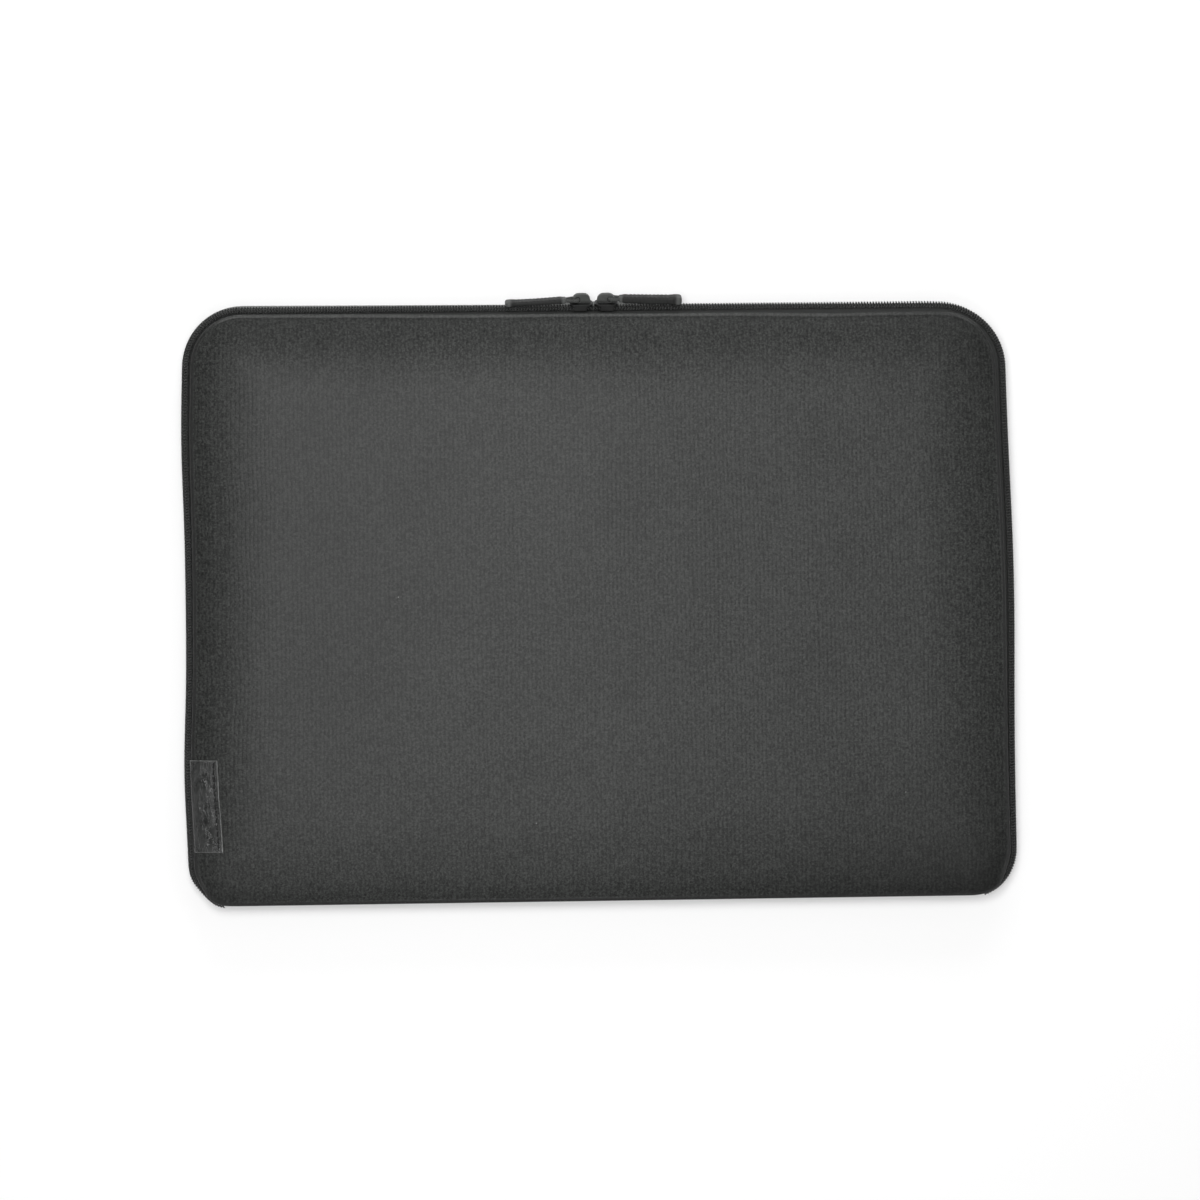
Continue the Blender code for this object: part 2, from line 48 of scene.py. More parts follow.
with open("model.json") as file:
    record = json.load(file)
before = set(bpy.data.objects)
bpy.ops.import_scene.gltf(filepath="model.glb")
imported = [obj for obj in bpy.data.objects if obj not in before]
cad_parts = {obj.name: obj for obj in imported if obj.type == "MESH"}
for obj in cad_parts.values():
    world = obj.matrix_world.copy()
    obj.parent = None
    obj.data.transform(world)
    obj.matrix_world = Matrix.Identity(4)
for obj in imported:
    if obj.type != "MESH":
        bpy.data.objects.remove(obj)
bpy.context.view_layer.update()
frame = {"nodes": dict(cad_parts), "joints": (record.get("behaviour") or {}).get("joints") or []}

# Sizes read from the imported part
HALF_X, HALF_Y, BACK_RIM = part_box("back_shell")[1]
FRONT_RIM, FRONT_FACE = (corner[2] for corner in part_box("front_shell"))
JOINTS = {joint["name"]: joint for joint in frame["joints"]}
# The way up or down from each half's rim into the half, the rim's height, and the body
HALVES = {"front": (1, FRONT_RIM, "front_cover"), "back": (-1, BACK_RIM, "back_half")}

# The outline: corner radii, and how far each corner of the soft sleeve lies from a true rectangle
CORNERS = {(-1, 1): 29 * MM, (1, 1): 31 * MM, (1, -1): 23 * MM, (-1, -1): 18 * MM}
CORNER_SHIFTS = {(-1, 1): (-0.6, 0.5), (1, 1): (-2.0, -1.4), (1, -1): (2.2, 0.5), (-1, -1): (-0.9, 0.6)}
SIDE_BULGES = ((-1, 80, 36, 1.2), (-1, -80, 34, 1.6), (1, 12, 64, 1.8))  # side, y, spread, size, in mm
TUCKED = ((-1, -1), 1.7, 9)  # the bottom left corner is pushed in: which corner, how far, over what spread
SLIDER_RUN = (160 * MM, 190 * MM)  # the zip stays straight inside the first, and shifts fully by the second
ZIP_END = 175 * MM  # the zip ends this far from the middle of the bottom edge

# The front panel's inset from the outline along each edge
INSET_TOP, INSET_BOTTOM = 4.7 * MM, 0.3 * MM
TOP_WANDER = ((-65, 30, 0.42), (112, 22, 0.45), (150, 20, -0.15))  # x, spread, extra inset, in mm
INSET_LEFT = (3.2 * MM, 4.8 * MM)  # at the bottom, at the top
INSET_RIGHT = (4.2 * MM, 6.4 * MM)

# Zip, as in the part
CHAIN_INSET, CHAIN_Z = 3.43 * MM, 14.604 * MM
CHAIN_INSET_BOTTOM = 1.6 * MM
SLOT_LEAN, SLOT_RISE = 4 * MM, FRONT_RIM - BACK_RIM


# ---- outline

def lengths(points):
    """The length along a path up to each of its points."""
    return np.concatenate([[0], np.cumsum(np.linalg.norm(np.diff(points, axis=0), axis=1))])


def rounded_outline(step):
    """Dense points and outward normals of the nominal outline, clockwise from the bottom edge's middle
    and back to it."""
    points, normals = [], []

    def straight(start, end, normal):
        count = max(2, int(math.dist(start, end) / step))
        points.extend(np.linspace(start, end, count, endpoint=False))
        normals.extend([normal] * count)

    place = np.array([0, -HALF_Y])
    for key, first in (((-1, -1), 270), ((-1, 1), 180), ((1, 1), 90), ((1, -1), 0)):
        radius = CORNERS[key]
        centre = np.array(key) * (np.array([HALF_X, HALF_Y]) - radius)
        angles = np.radians([first, first - 90])
        out = np.round(np.column_stack([np.cos(angles), np.sin(angles)]))
        straight(place, centre + radius * out[0], out[0])
        for angle in np.linspace(*angles, max(6, int(radius * math.pi / 2 / step)), endpoint=False):
            normals.append(np.array([math.cos(angle), math.sin(angle)]))
            points.append(centre + radius * normals[-1])
        place = centre + radius * out[1]
    straight(place, (0, -HALF_Y), (0, -1))
    return np.array(points + points[:1]), np.array(normals + normals[:1])


def resampled(points, normals, spacing, first, last):
    """Places, turns and lengths at even stations between two lengths along the outline."""
    length = lengths(points)
    at = np.linspace(first, last, max(2, round((last - first) / spacing) + 1))
    place, turn = (
        np.stack([np.interp(at, length, column) for column in table.T], 1) for table in (points, normals))
    return place, unit(turn), at


def unit(vectors):
    return vectors / np.linalg.norm(vectors, axis=-1, keepdims=True)


DENSE = rounded_outline(0.25 * MM)
OUTLINE_LENGTH = lengths(DENSE[0])[-1]
ALONG, UP = 112, 80  # stations on the top and bottom edges, and on the left and right ones


def loop_stations():
    """Stations all the way round, clockwise from the middle of the bottom left corner. Each edge has its
    own even spacing, so that a plain grid can fill the middle of a panel."""
    radii = [CORNERS[key] for key in ((-1, -1), (-1, 1), (1, 1), (1, -1))]
    saved = 1 - math.pi / 4  # how much shorter the way round half a corner is, as a share of its radius
    start = HALF_X - radii[0] * saved
    left, top, right = (
        2 * half - (a + b) * saved for half, a, b in zip((HALF_Y, HALF_X, HALF_Y), radii, radii[1:]))
    bottom = OUTLINE_LENGTH - left - top - right
    places, turns = [], []
    twice = [np.vstack([part, part[1:]]) for part in DENSE]
    for length, count in ((left, UP), (top, ALONG), (right, UP), (bottom, ALONG)):
        place, turn, _ = resampled(*twice, length / count, start, start + length)
        places.append(place[:-1])
        turns.append(turn[:-1])
        start += length
    return np.vstack(places), np.vstack(turns)


def zip_stations(spacing, trim=0.0):
    """Stations along the zip, from the bottom left round to the bottom right, trimmed at both ends."""
    return resampled(*DENSE, spacing, ZIP_END + trim, OUTLINE_LENGTH - ZIP_END - trim)


def inset_at(x, y):
    """Depth of points inside the nominal outline."""
    r = CORNERS
    radius = np.where(y > 0, np.where(x > 0, r[1, 1], r[-1, 1]), np.where(x > 0, r[1, -1], r[-1, -1]))
    qx, qy = np.abs(x) - HALF_X + radius, np.abs(y) - HALF_Y + radius
    outside = np.hypot(np.maximum(qx, 0), np.maximum(qy, 0))
    return radius - outside - np.minimum(np.maximum(qx, qy), 0)


def top_inset(x):
    """The front panel's top edge wanders in and out a little along the zip."""
    wander = sum(size * np.exp(-((x / MM - middle) / spread) ** 2) for middle, spread, size in TOP_WANDER)
    return INSET_TOP + wander * MM


def front_inset(x, y):
    """The front panel's own inset near a point: a blend of the four edges' insets, by closeness."""
    up = np.clip((y / HALF_Y + 1) / 2, 0, 1)
    edges = (
        (HALF_X + x, INSET_LEFT[0] + (INSET_LEFT[1] - INSET_LEFT[0]) * up),
        (HALF_X - x, INSET_RIGHT[0] + (INSET_RIGHT[1] - INSET_RIGHT[0]) * up),
        (HALF_Y - y, top_inset(x)),
        (HALF_Y + y, INSET_BOTTOM),
    )
    weights = [1 / np.maximum(gap + 4 * MM, 1 * MM) ** 3 for gap, _ in edges]
    return sum(w * depth for w, (_, depth) in zip(weights, edges)) / sum(weights)


def soft_shift(co, on_zip=False):
    """Points of the true rectangle moved to the soft sleeve's slightly uneven outline. Along the top the
    zip itself stays straight where the sliders run."""
    out = np.array(co, float)
    x, y = out[:, 0].copy(), out[:, 1].copy()
    right, up = (x / HALF_X + 1) / 2, (y / HALF_Y + 1) / 2
    free = np.ones(len(x))
    if on_zip:
        near, far = SLIDER_RUN
        share = np.clip((np.abs(x) - near) / (far - near), 0, 1)
        free = np.where(y > 0, share * share * (3 - 2 * share), 1)
    for (side, level), (dx, dy) in CORNER_SHIFTS.items():
        weight = (right if side > 0 else 1 - right) * (up if level > 0 else 1 - up)
        out[:, 0] += dx * MM * weight
        out[:, 1] += dy * MM * weight * free
    for side, centre, spread, size in SIDE_BULGES:
        near = np.clip(side * x / HALF_X, 0, 1.1) ** 5
        out[:, 0] += side * size * MM * near * np.exp(-(((y / MM) - centre) / spread) ** 2)
    corner, depth, spread = TUCKED
    radius = CORNERS[corner] * (1 - math.sqrt(0.5))
    reach = np.hypot(x - corner[0] * (HALF_X - radius), y - corner[1] * (HALF_Y - radius)) / (spread * MM)
    for axis in (0, 1):
        out[:, axis] -= corner[axis] * depth * MM * math.sqrt(0.5) * np.exp(-reach ** 2)
    return out


# ---- meshes

def new_mesh(name, points, faces):
    mesh = bpy.data.meshes.new(name)
    mesh.from_pydata(points.reshape(-1, 3).tolist(), [], faces)
    mesh.update()
    return mesh


def quads(index, closed=False):
    """Faces between neighbouring entries of a table of point numbers. closed joins each row's ends."""
    if closed:
        index = np.hstack([index, index[:, :1]])
    corners = [index[:-1, :-1], index[:-1, 1:], index[1:, 1:], index[1:, :-1]]
    return np.stack(corners, -1).reshape(-1, 4).tolist()


def grid_mesh(name, grid, closed=False):
    rows, columns = grid.shape[:2]
    return new_mesh(name, grid, quads(np.arange(rows * columns).reshape(rows, columns), closed))


def put_attribute(mesh, name, *columns):
    """A point attribute from up to three columns of values."""
    values = np.zeros((len(mesh.vertices), 3), np.float32)
    for k, column in enumerate(columns):
        values[:, k] = np.ravel(column)
    mesh.attributes.new(name, "FLOAT_VECTOR", "POINT").data.foreach_set("vector", values.ravel())


def in_scene(data):
    made = bpy.data.objects.new(data.name, data)
    bpy.context.scene.collection.objects.link(made)
    return made


def new_piece(mesh, look, body, replaced=()):
    piece = in_scene(mesh)
    mesh.materials.append(look)
    mesh.shade_smooth()
    if body:
        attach(piece, body)
    if replaced:
        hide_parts(*replaced)
    return piece


def subdivided(piece, levels=1):
    smoother = piece.modifiers.new("smooth", "SUBSURF")
    smoother.levels = smoother.render_levels = levels


def apply_modifiers(piece):
    bpy.context.view_layer.update()
    made = bpy.data.meshes.new_from_object(piece.evaluated_get(bpy.context.evaluated_depsgraph_get()))
    old = piece.data
    piece.modifiers.clear()
    piece.data = made
    bpy.data.meshes.remove(old)
    made.shade_smooth()


def lump(x, y, seed, scale):
    """Smooth random height, about -1 to 1, at points in metres."""
    return np.array([noise.noise(Vector((a * scale, b * scale, seed))) for a, b in zip(x, y)])


def row_at(place, turn, inset, z):
    """Points inset from the stations, at a height."""
    plan = place - turn * np.broadcast_to(inset, len(place))[:, None]
    return np.column_stack([plan, np.broadcast_to(z, len(place))])


def panel_mesh(name, rim, height, looks_up, middle_inset=44 * MM, steps=7):
    """A tray-shaped panel: rows round the outline given as (inset, z) at each station, more rows to a
    rectangle inside, and a grid in it at height(x, y). "weave" has the cloth's own lengths: its plan on the
    flat, carried down over the edges by the length of the surface."""
    place, turn = loop_stations()
    rows = [row_at(place, turn, inset, z) for inset, z in rim]
    x, y = HALF_X - middle_inset, HALF_Y - middle_inset
    corners = [(-x, -y), (-x, y), (x, y), (x, -y), (-x, -y)]
    inner = np.vstack([
        np.linspace(a, b, count, endpoint=False)
        for a, b, count in zip(corners, corners[1:], (UP, ALONG, UP, ALONG))])
    last = rows[-1][:, :2]
    for share in np.linspace(0, 1, steps + 1)[1:]:
        plan = last + (inner - last) * share
        rows.append(np.column_stack([plan, height(*plan.T)]))
    grid = np.array(rows)
    cloth = grid[:, :, :2].copy()
    step = np.linalg.norm(np.diff(grid, axis=0), axis=2)
    for row in range(len(rim) - 2, -1, -1):
        cloth[row] = cloth[row + 1] + turn * step[row][:, None]
    index = np.arange(grid[:, :, 0].size).reshape(len(rows), -1)
    edge = index[-1]
    table = np.zeros((ALONG + 1, UP + 1), int)
    table[0, :] = edge[:UP + 1]
    table[:, UP] = edge[UP:UP + ALONG + 1]
    table[ALONG, :] = edge[UP + ALONG:2 * UP + ALONG + 1][::-1]
    table[:, 0] = np.append(edge[2 * UP + ALONG:], edge[0])[::-1]
    across = np.linspace(-x, x, ALONG + 1)[1:-1]
    along = np.linspace(-y, y, UP + 1)[1:-1]
    inside = table[1:-1, 1:-1]
    inside[:] = index.size + np.arange(inside.size).reshape(inside.shape)
    flat = np.array([(a, b) for a in across for b in along])
    points = np.vstack([grid.reshape(-1, 3), np.column_stack([flat, height(*flat.T)])])
    mesh = new_mesh(name, points, quads(index, closed=True) + quads(table))
    put_attribute(mesh, "weave", *np.vstack([cloth.reshape(-1, 2), flat]).T)
    if looks_up:
        mesh.flip_normals()
    return mesh


# ---- panels

PANEL_RISE = 42 * MM  # how far in from its rim the front panel goes on rising
RISE_FOOT = 1.2 * MM  # the rise starts this far above the rim
# Uneven areas of the cover: x, y, spread in x, spread in y, amount
SLACK = (  # the foam slopes away more softly, or less softly
    (0.2, -0.145, 0.1, 0.05, 0.9), (-0.06, -0.145, 0.11, 0.04, -0.55), (0.2, 0.145, 0.05, 0.045, 0.6),
    (-0.2, -0.145, 0.035, 0.035, 0.5))
TIRED = ((0.17, -0.125, 0.075, 0.05, -1.5 * MM),)  # the foam has given way
PAINTED_SHADE_SPOTS = (  # painted shade: the knit is coloured darker towards the corners and on the left
    (0.21, -0.155, 0.1, 0.05, 0.7), (0.21, 0.15, 0.06, 0.05, 0.4), (-0.2, -0.15, 0.03, 0.03, 0.3),
    (-0.145, 0.03, 0.055, 0.12, 0.2))
# painted light: a faint paler band across the cover's lower middle
PAINTED_LIGHT_BAND = ((-0.06, -0.13, 0.13, 0.014, 0.04),)
# The front panel's hem, from its raw edge inside to its outside: inset, z, and z along the top's bead, in mm
FRONT_HEM = (
    (2.6, 1.9, 1.9), (1.25, 1.2, 1.2), (1.1, 0.1, 0.1), (0.75, -0.35, -0.35), (0.3, -0.25, -0.25),
    (0.0, 0.15, 0.3), (0.05, 0.85, 0.95), (0.4, 1.35, 1.5), (0.9, 1.8, 1.68), (1.5, 2.4, 1.35))
FRONT_HEM_PAINTED_SHADE = 0.65  # painted shade: how much darker the hem is coloured along the sides and the bottom
FRONT_BEAD_PAINTED_HIGHLIGHT = {6: 0.06, 7: 0.13, 8: 0.13, 9: 0.06}  # rows of the top's bead, coloured paler: a painted highlight
FRONT_EDGE_ROWS = (2.1, 2.5, 3.1, 4.0, 5.2, 6.8, 8.8, 11.0)  # insets of the next rows, in mm
# The back panel's hem, above its rim, and its wall down to the back face: inset, z, in mm
BACK_HEM = (
    (2.9, -1.9), (2.3, -0.9), (2.2, 0.2), (1.9, 0.7), (1.3, 0.8), (0.6, 0.55), (0.1, 0.1), (-0.05, -0.45),
    (0.15, -1.1))
BACK_WALL = (
    (0.2, 8.6), (-0.1, 7.6), (-0.3, 6.2), (-0.2, 4.8), (0.3, 3.4), (1.3, 2.1), (2.9, 1.15), (5.2, 0.5),
    (8.2, 0.15), (11.5, 0.02))
# Rows of the back panel's hem coloured paler along the top: a painted highlight
BACK_HEM_PAINTED_HIGHLIGHT = {2: 0.3, 3: 0.6, 4: 0.85, 5: 1.0, 6: 1.0, 7: 1.0, 8: 0.5}
BACK_BULGE = (4, 24, 1.6)  # the rim stands out below the sliders: x, spread, size, in mm


def top_share(x, y):
    """1 near the top edge, 0 near the others."""
    to_top = np.maximum(HALF_Y - y, MM)
    to_others = np.maximum(np.minimum(HALF_X - np.abs(x), HALF_Y + y), MM)
    return to_others ** 3 / (to_others ** 3 + to_top ** 3)


def front_height(depth, top, slack):
    """Height of the front panel at a depth inside its own edge. Along the top it starts behind a bead."""
    share = np.clip((depth - (0.6 + 1.3 * top) * MM) / (PANEL_RISE * (1 + 0.25 * slack)), 0, 1)
    curve = (1 - (1 - share) ** 2.2) ** 0.625
    return FRONT_RIM + RISE_FOOT + (FRONT_FACE - FRONT_RIM - RISE_FOOT) * curve


CROWN = 1.8 * MM
SHEET = (73, 53)  # points of the simulated sheet, across and up
SETTLED = 20  # frames


def simulated_sheet():
    """The cover's cloth, pinned along its edge and blown up a little by a cloth simulation: its heights as
    a share of the highest, on an even grid over the sleeve."""
    scene = bpy.context.scene
    across = np.linspace(-HALF_X, HALF_X, SHEET[0])
    up = np.linspace(-HALF_Y, HALF_Y, SHEET[1])
    plan = np.array([[(x, y) for x in across] for y in up])
    x, y = plan.reshape(-1, 2).T
    start = 0.5 * MM * lump(x, y, 4.4, 18).reshape(plan.shape[:2])
    sheet = in_scene(grid_mesh("sheet", np.dstack([plan, start])))
    depth = inset_at(x, y)
    pinned = sheet.vertex_groups.new(name="pinned")
    pinned.add([int(n) for n in np.flatnonzero(depth < 7 * MM)], 1.0, "REPLACE")
    cloth = sheet.modifiers.new("cloth", "CLOTH")
    settings = cloth.settings
    settings.quality, settings.mass = 6, 0.3
    settings.tension_stiffness = settings.compression_stiffness = 14
    settings.shear_stiffness, settings.bending_stiffness = 8, 2
    settings.vertex_group_mass = "pinned"
    settings.use_pressure, settings.uniform_pressure_force = True, 1.5
    settings.effector_weights.gravity = 0
    cloth.point_cache.frame_start, cloth.point_cache.frame_end = 1, SETTLED
    for number in range(1, SETTLED + 1):
        scene.frame_set(number)
    shape = sheet.evaluated_get(bpy.context.evaluated_depsgraph_get()).to_mesh()
    heights = np.array([v.co.z for v in shape.vertices]).reshape(plan.shape[:2])
    bpy.data.objects.remove(sheet)
    scene.frame_set(1)
    return np.clip(heights / heights.max(), 0, 1)


CROWN_SHARES = simulated_sheet()


def crown(x, y):
    """How much the cover's cloth stands up over the foam at plan points."""
    low, part = [], []
    for at, half, count in ((x, HALF_X, SHEET[0]), (y, HALF_Y, SHEET[1])):
        step = np.clip((at / half + 1) / 2, 0, 1) * (count - 1)
        low.append(np.minimum(step.astype(int), count - 2))
        part.append(step - low[-1])
    (i, j), (a, b) = low, part
    near, far = (CROWN_SHARES[row, i] * (1 - a) + CROWN_SHARES[row, i + 1] * a for row in (j, j + 1))
    return CROWN * (near * (1 - b) + far * b)


def gaussians(x, y, areas):
    """The sum of the areas' soft spots at plan points."""
    return sum(size * np.exp(-((x - a) / da) ** 2 - ((y - b) / db) ** 2) for a, b, da, db, size in areas)


def front_surface(x, y):
    """Height of the front panel's outside, at plan points of the true rectangle."""
    depth = inset_at(x, y) - front_inset(x, y)
    inner = np.clip((depth - 8 * MM) / (30 * MM), 0, 1)
    lumps = 0.45 * MM * lump(x, y, 3.1, 14) + 0.2 * MM * lump(x, y, 8.7, 31) + gaussians(x, y, TIRED)
    return front_height(depth, top_share(x, y), gaussians(x, y, SLACK)) + crown(x, y) + lumps * inner


def rows_painted(values, rows, share):
    """Sets a panel's values on whole rows round its rim to each row's amount times a share."""
    for row, amount in rows.items():
        values[row * len(share):(row + 1) * len(share)] = amount * share


def front_panel(look):
    """The cover's panel. Along the top, its hem stands up as a bead with a painted highlight; the hem along
    the other edges and the cover's corners have painted shade.
    """
    place, turn = loop_stations()
    own = front_inset(*place.T)
    top = np.clip(turn[:, 1], 0, 1) ** 2
    rim = [(own + t * MM, FRONT_RIM + (z + (bead - z) * top) * MM) for t, z, bead in FRONT_HEM]
    for depth in FRONT_EDGE_ROWS:
        x, y, _ = row_at(place, turn, own + depth * MM, 0).T
        rim.append((own + depth * MM, front_surface(x, y)))
    mesh = panel_mesh("front_panel", rim, front_surface, True)
    x, y, _ = np.array([v.co for v in mesh.vertices]).T
    # Painted shade and painted light on the knit: darker towards the corners and along the hem's sides and
    # bottom, paler in a low band and along the top's bead
    darker, paler = gaussians(x, y, PAINTED_SHADE_SPOTS), gaussians(x, y, PAINTED_LIGHT_BAND)
    hem = darker[:len(FRONT_HEM) * len(place)].reshape(len(FRONT_HEM), -1)
    hem[:] = np.maximum(hem, FRONT_HEM_PAINTED_SHADE * (1 - top))
    rows_painted(paler, FRONT_BEAD_PAINTED_HIGHLIGHT, top)
    put_attribute(mesh, "painted_light_and_shade", paler, darker)
    finished_soft(mesh, look, "front_cover", ("front_shell", "front_padding"))


def back_panel(look):
    """The back's panel. Its rim stands out a little below the sliders, and has a painted highlight along the
    top.
    """
    place, turn = loop_stations()
    top = np.clip(turn[:, 1], 0, 1) ** 4
    middle, spread, size = BACK_BULGE
    bulge = size * top * np.exp(-((place[:, 0] / MM - middle) / spread) ** 2)
    profile = [(t, BACK_RIM / MM + z) for t, z in BACK_HEM] + list(BACK_WALL)
    rim = [((t - bulge * min(1, max(0, (2 - t) / 1.4))) * MM, z * MM) for t, z in profile]
    mesh = panel_mesh("back_panel", rim, lambda x, y: np.zeros_like(x), False)
    # Painted highlight on the top rim's rows
    paler = np.zeros(len(mesh.vertices))
    rows_painted(paler, BACK_HEM_PAINTED_HIGHLIGHT, top)
    put_attribute(mesh, "painted_light_and_shade", paler)
    finished_soft(mesh, look, "back_half", ("back_shell", "back_padding"))


def finished_soft(mesh, look, body, replaced, levels=1, thick=0.0, on_zip=False):
    """A soft piece: moved to the uneven outline, thickened, subdivided, and placed if it has a body."""
    co = np.array([v.co for v in mesh.vertices])
    mesh.vertices.foreach_set("co", soft_shift(co, on_zip).ravel())
    piece = new_piece(mesh, look, None, replaced)
    if thick:
        layer = piece.modifiers.new("thickness", "SOLIDIFY")
        layer.thickness, layer.offset, layer.use_even_offset = thick, 0, True
    if levels:
        subdivided(piece, levels)
    if thick or levels:
        apply_modifiers(piece)
    if body:
        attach(piece, body)
    return piece


# ---- swept shapes

def swept(path, radius, sides, guide):
    """Rings of points round a path. guide is never along the path."""
    path = np.asarray(path, float)
    tangent = unit(np.gradient(path, axis=0))
    guide = np.broadcast_to(guide, path.shape)
    first = unit(guide - tangent * np.sum(guide * tangent, axis=1, keepdims=True))
    second = np.cross(tangent, first)
    radius = np.broadcast_to(radius, len(path))[:, None]
    rings = []
    for angle in np.arange(sides) * math.tau / sides:
        rings.append(path + radius * (first * math.cos(angle) + second * math.sin(angle)))
    return np.stack(rings, 1)


def tube_mesh(name, many_rings):
    """One mesh of capped tubes, each a grid of rings."""
    points, faces = [], []
    base = 0
    for rings in many_rings:
        count, sides = rings.shape[:2]
        index = base + np.arange(count * sides).reshape(count, sides)
        faces += quads(index, closed=True) + [index[0, ::-1].tolist(), index[-1].tolist()]
        points.append(rings.reshape(-1, 3))
        base += count * sides
    return new_mesh(name, np.vstack(points), faces)


def strip_mesh(name, at, grid, closed=False):
    """A strip whose "weave" has the cloth's lengths: along it, and across its rows."""
    mesh = grid_mesh(name, grid, closed)
    step = np.linalg.norm(np.diff(grid, axis=0), axis=2)
    across = np.vstack([np.zeros(grid.shape[1]), np.cumsum(step, axis=0)])
    put_attribute(mesh, "weave", np.broadcast_to(at, across.shape), across)
    return mesh


# ---- zip

TOOTH = 1.4 * MM
COIL_START = 8 * MM  # a coil starts this far along the zip, just past its stop
STOP_SIZE, STOP_MOVE = 0.86, (0, 1.1 * MM, 0)  # drawn smaller than cast, and further in, to sit in the tape


def zip_frame(place, turn):
    """The chain's middle, the way across it towards the front, and the way out, at each station."""
    lean = SLOT_LEAN * (turn[:, 0] ** 2 + np.maximum(turn[:, 1], 0) ** 2)
    size = np.hypot(lean, SLOT_RISE)[:, None]
    across = np.column_stack([-turn * lean[:, None], np.full(len(turn), SLOT_RISE)]) / size
    out = np.column_stack([turn * SLOT_RISE, lean]) / size
    inset = CHAIN_INSET_BOTTOM + (CHAIN_INSET - CHAIN_INSET_BOTTOM) * lean / SLOT_LEAN
    return row_at(place, turn, inset, CHAIN_Z), across, out, lean


def zip_tape(side, look):
    """Woven tape from beside the coil to behind the panel's hem."""
    sign, rim, body = HALVES[side]
    place, turn, at = zip_stations(1.7 * MM)
    middle, across, _, lean = zip_frame(place, turn)
    rows = [middle + across * sign * reach * MM for reach in (0.35, 1.2, 2.2, 3.2, 4.1)]
    hem = 1.65 * MM
    if side == "front":
        own = front_inset(*place.T)
        hem = np.maximum(CHAIN_INSET_BOTTOM + lean, own + 1.55 * MM)
    rows += [row_at(place, turn, hem, rim + sign * z * MM) for z in (-0.2, 1.4)]
    mesh = strip_mesh(f"{side}_tape", at, np.array(rows))
    finished_soft(mesh, look, body, (f"{side}_zip_tape",), 0, 0.45 * MM, on_zip=True)


def zip_coil(side, look):
    """One side's coil, a flattened helix of stiff nylon; the other side's turns lie between its turns."""
    sign, _, body = HALVES[side]
    place, turn, at = zip_stations(TOOTH / 9, COIL_START)
    middle, across, out, _ = zip_frame(place, turn)
    shift = 0.5 if side == "front" else 0.0
    phase = math.tau * (at / TOOTH + shift)[:, None]
    path = middle + across * sign * (1.45 - 1.3 * np.cos(phase)) * MM
    path = path + out * (1.6 + 0.72 * np.sin(phase)) * MM
    along = np.column_stack([turn[:, 1], -turn[:, 0], np.zeros(len(turn))])
    mesh = tube_mesh(f"{side}_coil", [swept(path, 0.31 * MM, 5, along)])
    finished_soft(mesh, look, body, (f"{side}_zip_coil",), 0, on_zip=True)


def cast_copy(node, name, look, body, voxel=0.13 * MM, size=1.0, move=(0, 0, 0)):
    """A die-cast or moulded look: the CAD shape with every edge worn round."""
    mesh = frame["nodes"][node].data.copy()
    mesh.name = name
    mesh.materials.clear()
    middle = sum(map(Vector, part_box(node)), Vector()) / 2
    back = Matrix.Translation(middle + Vector(move))
    mesh.transform(back @ Matrix.Scale(size, 4) @ Matrix.Translation(-middle))
    piece = new_piece(mesh, look, None, (node,))
    remesh = piece.modifiers.new("voxels", "REMESH")
    remesh.mode, remesh.voxel_size = "VOXEL", voxel
    soften = piece.modifiers.new("round", "SMOOTH")
    soften.factor, soften.iterations = 0.5, 5
    apply_modifiers(piece)
    out = Vector((0, SLOT_RISE, SLOT_LEAN)).normalized()
    foot = Vector((0, HALF_Y - CHAIN_INSET, CHAIN_Z)).dot(out)
    # Height above the zip, read by the metal's painted highlight on the crown
    put_attribute(piece.data, "lift", [v.co.dot(out) - foot for v in piece.data.vertices])
    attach(piece, body)


# ---- pulls

GRIPS = {"left": (5.6, 29.6), "right": (4.4, 30.6)}  # start, length, in mm
GRIP_TIP = 4.6  # mm
# The way the pull points, how far it droops, and how far it rolls
PULLS = {"left": (-1, math.radians(2.4), math.radians(3)), "right": (1, math.radians(1), math.radians(-1))}
GRIP_THICKER = {"left": (1.02, 0.85, 1), "right": (1.15, 1.42, -1)}  # root, tip, and the side that stays put


def pull_frame(side):
    """The pull's own frame: x along it from its pivot, y across it."""
    sign, droop, _ = PULLS[side]
    joint = JOINTS[f"{side}_pull_swing"]
    y = -Vector(joint["axis"]).normalized()
    out = Vector((0, SLOT_RISE, SLOT_LEAN))
    out = (out - y * out.dot(y)).normalized()
    x = (Vector((sign, 0, 0)) * math.cos(droop) - out * math.sin(droop)).normalized()
    turned = Matrix((x, y, x.cross(y))).transposed().to_4x4()
    return Matrix.Translation(Vector(joint["pos_m"])) @ turned


def cord_path(roll):
    """One strand from the grip, round the crown's eye and back into the grip, as a smooth curve."""
    half = [
        (10.5, 1.5), (8.0, 1.5), (5.6, 1.5), (4.4, 1.65), (3.4, 1.95), (2.6, 2.05), (1.6, 2.1), (0.8, 2.0),
        (0.25, 1.55), (0.0, 1.0)]
    points = np.array(half + [(x, -y) for x, y in reversed(half)]) * MM
    at = lengths(points)
    fine = np.linspace(0, at[-1], 150)
    x, y = (np.interp(fine, at, points[:, k]) for k in (0, 1))
    kernel = np.hanning(9) / np.hanning(9).sum()
    x[4:-4], y[4:-4] = np.convolve(x, kernel, "valid"), np.convolve(y, kernel, "valid")
    turn = roll * np.clip((x - 1.6 * MM) / (4 * MM), 0, 1)
    return np.column_stack([x, y * np.cos(turn), y * np.sin(turn)]), fine


